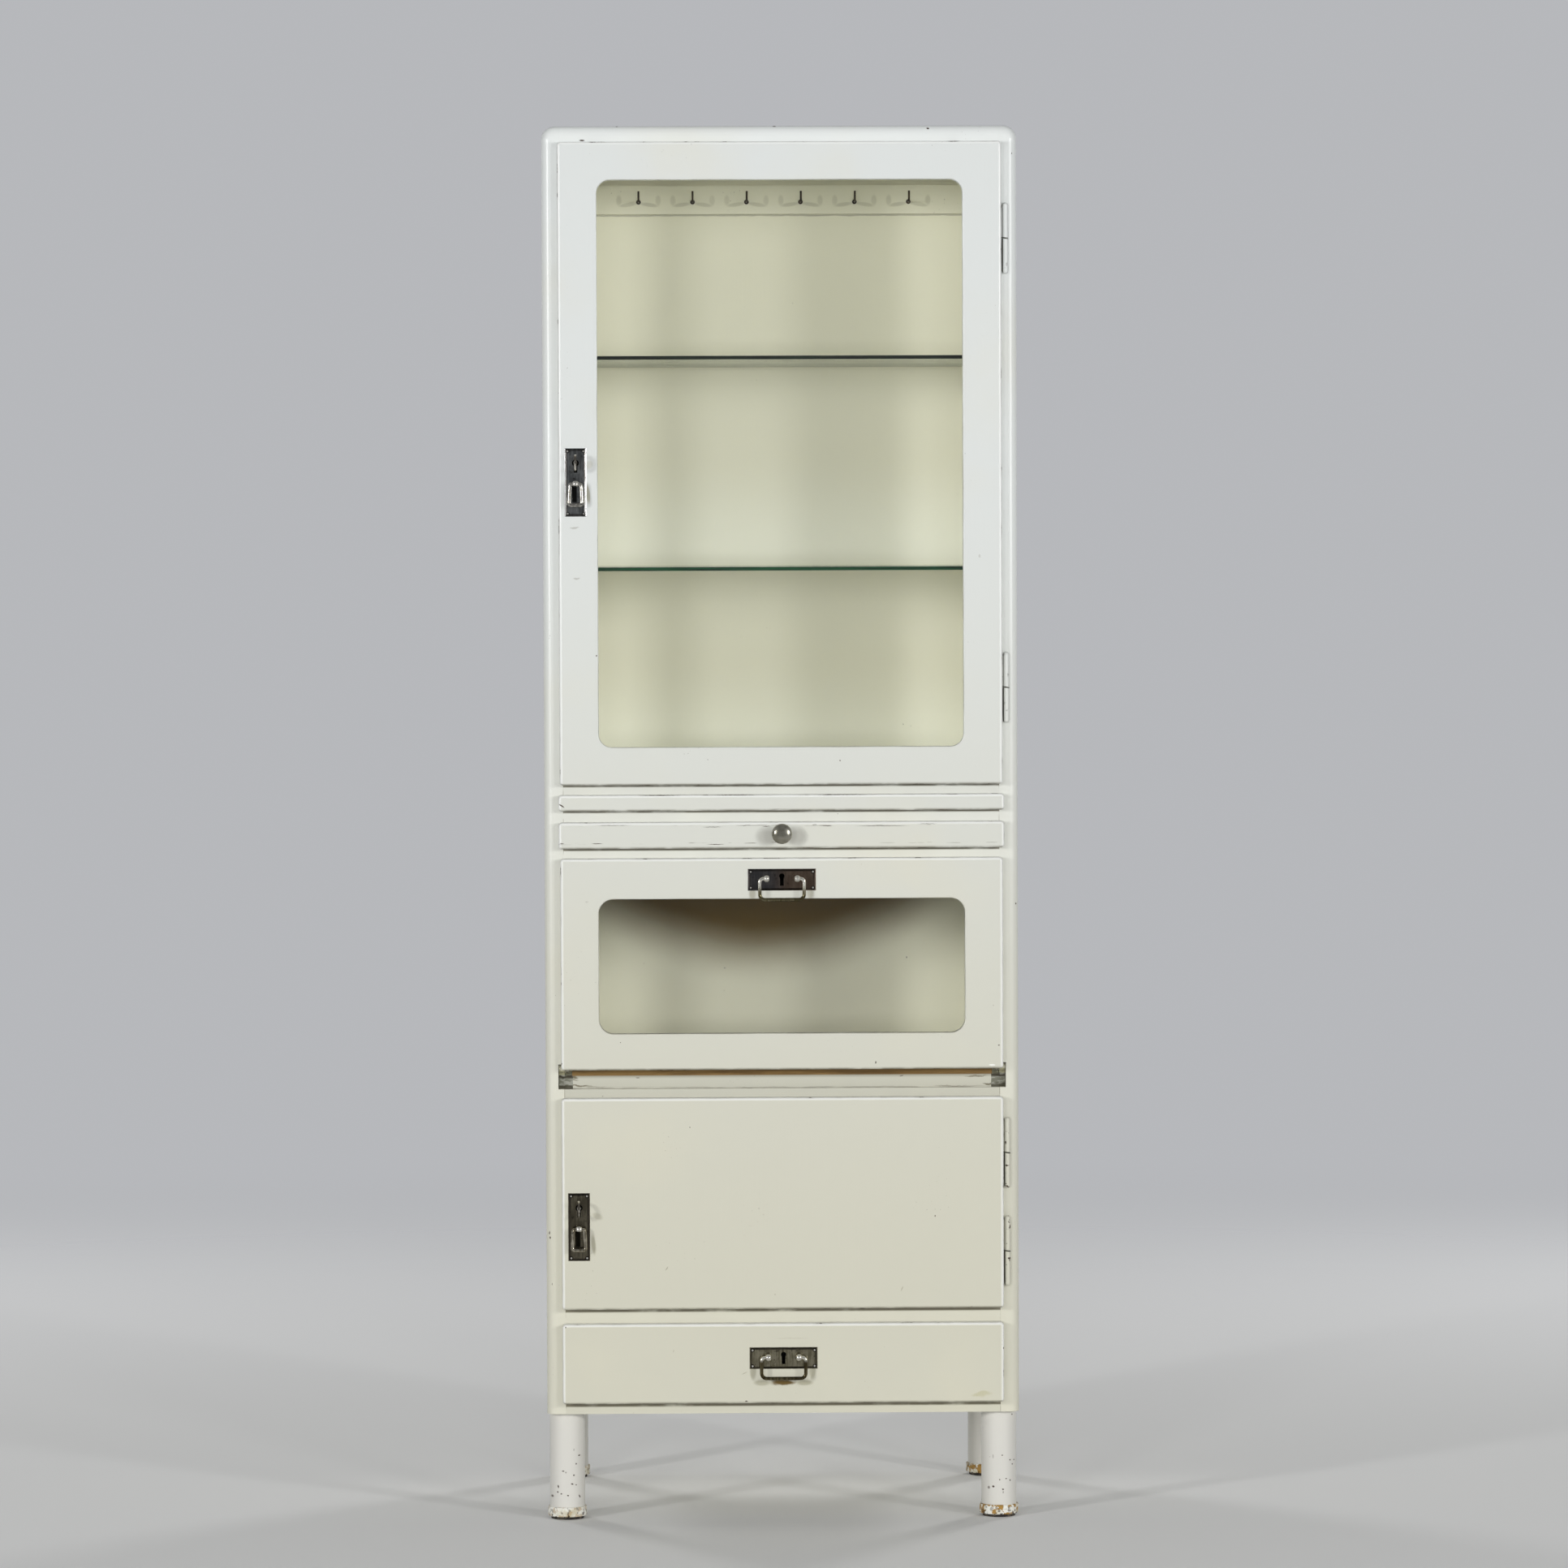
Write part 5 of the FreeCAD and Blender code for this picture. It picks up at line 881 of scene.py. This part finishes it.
otherSkins = {
    "upper_door_lock_plate": upperPlate,
    "lower_door_lock_plate": lowerPlate,
    "flap_lock_plate": flapNickel,
    "drawer_lock_plate": drawerNickel,
    "upper_door_pull": pullNickel,
    "lower_door_pull": dullPullNickel,
    "flap_bail": flapBail,
    "drawer_bail": drawerBail,
    "tray_knob": knobNickel,
    "upper_door_key": keySteel,
    "lower_door_key": keySteel,
    "flap_pivot_brackets": bracketSkin("bracketIron"),
    "flap_pivot_arms": bareSteel,
    "leg_ferrules": ferruleSkin("ferrulePaint"),
    "leg_glides": gliderSkin("gliderRubber"),
    "rail_hooks": enamelSkin("hookEnamel"),
    "upper_door_glass": paneSkin("doorPane", (0.995, 0.998, 0.995, 1.0), 0.006),
    "flap_glass": paneSkin("flapPane", (0.992, 0.997, 0.994, 1.0), 0.005),
    "upper_shelf": shelfSkin("upperShelfGlass", tone(16, 18, 15), tone(30, 40, 30)),
    "lower_shelf": shelfSkin("lowerShelfGlass", tone(12, 40, 24), tone(24, 70, 42)),
    "drawer_sides": woodSkin("drawerSideWood", (206, 182, 142), (178, 150, 108), "y"),
    "drawer_back": woodSkin("drawerBackWood", (206, 182, 142), (178, 150, 108), "x"),
    "drawer_bottom": woodSkin("drawerBottomWood", (200, 172, 130), (168, 138, 98), "x"),
    "tray_rim": woodSkin("trayRimWood", (206, 182, 142), (178, 150, 108), "y"),
    "tray_bottom": woodSkin("trayBottomWood", (200, 172, 130), (168, 138, 98), "x"),
    "shelf_pegs": woodSkin("pegWood", (188, 158, 116), (150, 118, 80), "x"),
}
paintedHinge = hingeSkin("hingePaint")
for nodeName in ("hinge_frame_leaves", "upper_door_hinge_leaves", "lower_door_hinge_leaves"):
    otherSkins[nodeName] = paintedHinge
for nodeName, part in cadNodes.items():
    if nodeName in paintedNodes:
        continue
    part.data.materials.clear()
    part.data.materials.append(otherSkins.get(nodeName, lockSteel))
print("metal, glass and wood given to", len(cadNodes) - len(paintedNodes), "nodes")


def pickFaces(piece, wanted):
    # in edit mode, selects only the faces for which wanted(face) is true
    bpy.ops.object.mode_set(mode="EDIT")
    bpy.ops.mesh.select_mode(type="FACE")
    bpy.ops.mesh.select_all(action="DESELECT")
    bpy.ops.object.mode_set(mode="OBJECT")
    for face in piece.data.polygons:
        face.select = wanted(face)
    bpy.ops.object.mode_set(mode="EDIT")


sharpFrom = 32  # degrees between faces from which an edge stays sharp


def finishPiece(piece, skin, body):
    bpy.ops.object.mode_set(mode="OBJECT")
    bpy.ops.object.select_all(action="DESELECT")
    piece.select_set(True)
    bpy.context.view_layer.objects.active = piece
    bpy.ops.object.transform_apply(location=True, rotation=True, scale=True)
    bpy.ops.object.shade_smooth_by_angle(angle=math.radians(sharpFrom))
    piece.data.materials.clear()
    piece.data.materials.append(skin)
    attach(piece, body)
    piece.select_set(False)


# A beech strip along the front of the flap compartment's floor, which the closed flap almost covers. Its
# wood is dark brown, partly painted shade of the gap under the flap.
lipStrip = {"half": 0.2620, "middle": (0.0, -0.1740, 0.5605), "deep": 0.0080, "high": 0.0080, "cuts": 14}
lipEdges = {"dip": 0.0004, "topInset": 0.0016, "faceInset": 0.0012, "press": 0.0005}
bpy.ops.mesh.primitive_cube_add(
    size=1.0,
    location=lipStrip["middle"],
    scale=(2 * lipStrip["half"], lipStrip["deep"], lipStrip["high"]),
)
lip = bpy.context.object
lip.name = "flapRebateLip"
bpy.ops.object.transform_apply(location=True, rotation=True, scale=True)
for cut in range(1, lipStrip["cuts"]):
    bpy.ops.object.mode_set(mode="EDIT")
    bpy.ops.mesh.select_all(action="SELECT")
    place = lipStrip["half"] * (2 * cut / lipStrip["cuts"] - 1)
    bpy.ops.mesh.bisect(plane_co=(place, 0.0, 0.0), plane_no=(1.0, 0.0, 0.0))
pickFaces(lip, lambda face: face.normal.z > 0.9)
bpy.ops.transform.translate(value=(0.0, 0.0, -lipEdges["dip"]))
bpy.ops.mesh.inset(thickness=lipEdges["topInset"])
bpy.ops.transform.translate(value=(0.0, 0.0, lipEdges["dip"]))
pickFaces(lip, lambda face: face.normal.y < -0.9)
bpy.ops.mesh.inset(thickness=lipEdges["faceInset"])
bpy.ops.transform.translate(value=(0.0, lipEdges["press"], 0.0))
finishPiece(lip, woodSkin("lipShadedWood", (136, 108, 64), (100, 76, 42), "x"), "carcass")
print("rebate strip made")

# Slotted screws, one made and the rest copied, all facing the back. Two rings round the crown off,
# each given as a share of the radius and a share of the dome's height.
screwShape = {
    "radius": 0.0031,
    "tall": 0.0011,
    "dome": 0.0004,
    "rings": ((0.12, 0.6), (0.30, 0.4)),
    "slot": 0.00045,
    "slotDepth": 0.0008,
    "sides": 24,
}
bpy.ops.mesh.primitive_cylinder_add(
    vertices=screwShape["sides"], radius=screwShape["radius"], depth=screwShape["tall"]
)
screwHead = bpy.context.object
pickFaces(screwHead, lambda face: face.normal.z > 0.9)
for inward, upward in screwShape["rings"]:
    bpy.ops.mesh.inset(thickness=screwShape["radius"] * inward)
    bpy.ops.transform.translate(value=(0.0, 0.0, screwShape["dome"] * upward))
for side in (-1, 1):
    bpy.ops.mesh.select_all(action="SELECT")
    bpy.ops.mesh.bisect(plane_co=(side * screwShape["slot"], 0.0, 0.0), plane_no=(1.0, 0.0, 0.0))
pickFaces(screwHead, lambda face: face.normal.z > 0.5 and abs(face.center.x) < screwShape["slot"] * 0.9)
bpy.ops.mesh.extrude_region_move(TRANSFORM_OT_translate={"value": (0.0, 0.0, -screwShape["slotDepth"])})
bpy.ops.object.mode_set(mode="OBJECT")

toBack = Matrix.Rotation(-math.pi / 2, 4, "X")
# Each place is x, y and z in millimetres and the turn of the slot in degrees. The back panel has nine
# screws down each side, and three along both its foot and its head.
backRows = {
    "side": 272.0,
    "behind": 232.0,
    "first": 170.0,
    "apart": 193.5,
    "across": 136.0,
    "ends": (150.0, 1718.0),
}
backScrews = [
    (side * backRows["side"], backRows["behind"], backRows["first"] + backRows["apart"] * step, 47 * step)
    for side in (-1, 1)
    for step in range(9)
] + [
    (backRows["across"] * (step - 1), backRows["behind"], level, 31 * step)
    for step in range(3)
    for level in backRows["ends"]
]
screwSets = {
    "upperLockScrews": ("upper_door", [(-254.5, -180.0, 1265.5, 20), (-254.5, -180.0, 1325.5, 75)]),
    "lowerLockScrews": ("lower_door", [(-254.5, -180.0, 340.0, 20), (-254.5, -180.0, 400.0, 75)]),
    "flapLockScrews": ("flap", [(-20.0, -180.0, 799.0, 40), (20.0, -180.0, 799.0, 110)]),
    "drawerLockScrews": ("drawer", [(-20.0, -180.0, 203.0, 15), (20.0, -180.0, 203.0, 130)]),
    "backPanelScrews": ("carcass", backScrews),
}
for setName, (body, places) in screwSets.items():
    heads = []
    for x, y, z, turn in places:
        head = screwHead.copy()
        head.data = screwHead.data.copy()
        bpy.context.collection.objects.link(head)
        place = Matrix.Translation((x / 1000, y / 1000, z / 1000))
        head.matrix_world = place @ toBack @ Matrix.Rotation(math.radians(turn), 4, "Z")
        heads.append(head)
    bpy.ops.object.select_all(action="DESELECT")
    for head in heads:
        head.select_set(True)
    bpy.context.view_layer.objects.active = heads[0]
    bpy.ops.object.join()
    screws = bpy.context.object
    screws.name = setName
    if setName == "backPanelScrews":
        finishPiece(screws, hingeSkin("screwPaint"), body)
    else:
        finishPiece(screws, lockSteel, body)
bpy.data.objects.remove(screwHead)
print("screws set:", sum(len(places) for body, places in screwSets.values()))

# A pale floor that fades into the pale surround, so that no horizon shows.
studio = {
    "floorTone": (232, 232, 231),
    "behind": (0.472, 0.48, 0.50),
    "front": (0.27, 0.275, 0.28),
    "ambient": (0.138, 0.142, 0.146),
    "fadeFrom": 0.9,
    "fadeTo": 4.6,
    "floorWide": 24.0,
    "turn": (-0.5, 0.6),
}
bpy.ops.mesh.primitive_plane_add(size=studio["floorWide"])
floor = bpy.context.object
floor.name = "studioFloor"
floorSkin, spot = startSkin("studioFloorSkin")
x, y, z = spot.parts()
far = (x ** 2.0 + y ** 2.0) ** 0.5
ground = Wire.node("BsdfDiffuse", {}, {"Color": tone(*studio["floorTone"])})
air = Wire.node("BsdfTransparent")
fade = far.rise(studio["fadeFrom"], studio["fadeTo"])
closeSkin(floorSkin, Wire.node("MixShader", {}, {0: fade, 1: ground, 2: air}))
floor.data.materials.append(floorSkin)

room = bpy.data.worlds.new("room")
room.use_nodes = True
Wire.tree = room.node_tree
Wire.tree.nodes.clear()
heading = Wire.node("TexCoord", output="Generated").parts()[1]
glow = blend((*studio["front"], 1.0), (*studio["behind"], 1.0), heading.rise(*studio["turn"]))
rays = Wire.tree.nodes.new("ShaderNodeLightPath")
sharp = [Wire(rays.outputs[kind]) for kind in ("Is Camera Ray", "Is Glossy Ray", "Is Transmission Ray")]
seen = Wire.node("Background", {}, {"Color": glow, "Strength": 1.0})
soft = Wire.node("Background", {}, {"Color": (*studio["ambient"], 1.0), "Strength": 1.0})
light = Wire.node("MixShader", {}, {0: sharp[0].most(sharp[1]).most(sharp[2]), 1: soft, 2: seen})
out = Wire.tree.nodes.new("ShaderNodeOutputWorld")
Wire.tree.links.new(light.socket, out.inputs["Surface"])
bpy.context.scene.world = room

# Two soft boxes with bright hearts stand well to the sides, and only these are mirrored in metal, glass
# and gloss. The plain ones are in front, behind and above.
softboxes = {
    "sideLeft": {"place": (-4.05, -4.30, 1.66), "wide": 1.0, "high": 1.0, "power": 26.0},
    "sideLeftHeart": {"place": (-4.05, -4.30, 1.68), "wide": 0.36, "high": 0.60, "power": 82.0},
    "sideRight": {"place": (3.90, -4.20, 1.66), "wide": 0.9, "high": 0.9, "power": 20.0},
    "sideRightHeart": {"place": (3.90, -4.20, 1.68), "wide": 0.36, "high": 0.60, "power": 64.0},
    "frontLeft": {"place": (-2.58, -8.36, 1.74), "wide": 0.95, "high": 1.9, "power": 110.0},
    "frontRight": {"place": (3.80, -7.79, 1.74), "wide": 0.95, "high": 1.9, "power": 114.0},
    "frontFill": {"place": (0.10, -9.50, 1.48), "wide": 2.0, "high": 1.6, "power": 180.0},
    "backLeft": {"place": (-2.60, 3.40, 1.90), "wide": 0.8, "high": 0.8, "power": 46.0},
    "backRight": {"place": (2.60, 3.40, 1.90), "wide": 0.8, "high": 0.8, "power": 52.0},
    "overhead": {"place": (0.0, 0.75, 4.30), "wide": 1.6, "high": 1.6, "power": 11.0},
}
lampAim = Vector((0.0, -0.1, 0.95))
for lampName, lamp in softboxes.items():
    bpy.ops.object.light_add(type="AREA", location=lamp["place"])
    bulb = bpy.context.object
    bulb.name = lampName
    bulb.data.shape = "RECTANGLE"
    bulb.data.size = lamp["wide"]
    bulb.data.size_y = lamp["high"]
    bulb.data.energy = lamp["power"]
    bulb.rotation_euler = (lampAim - Vector(lamp["place"])).to_track_quat("-Z", "Y").to_euler()
    bulb.visible_camera = False
    bulb.visible_glossy = lampName.startswith("side")
print("floor and lights set")
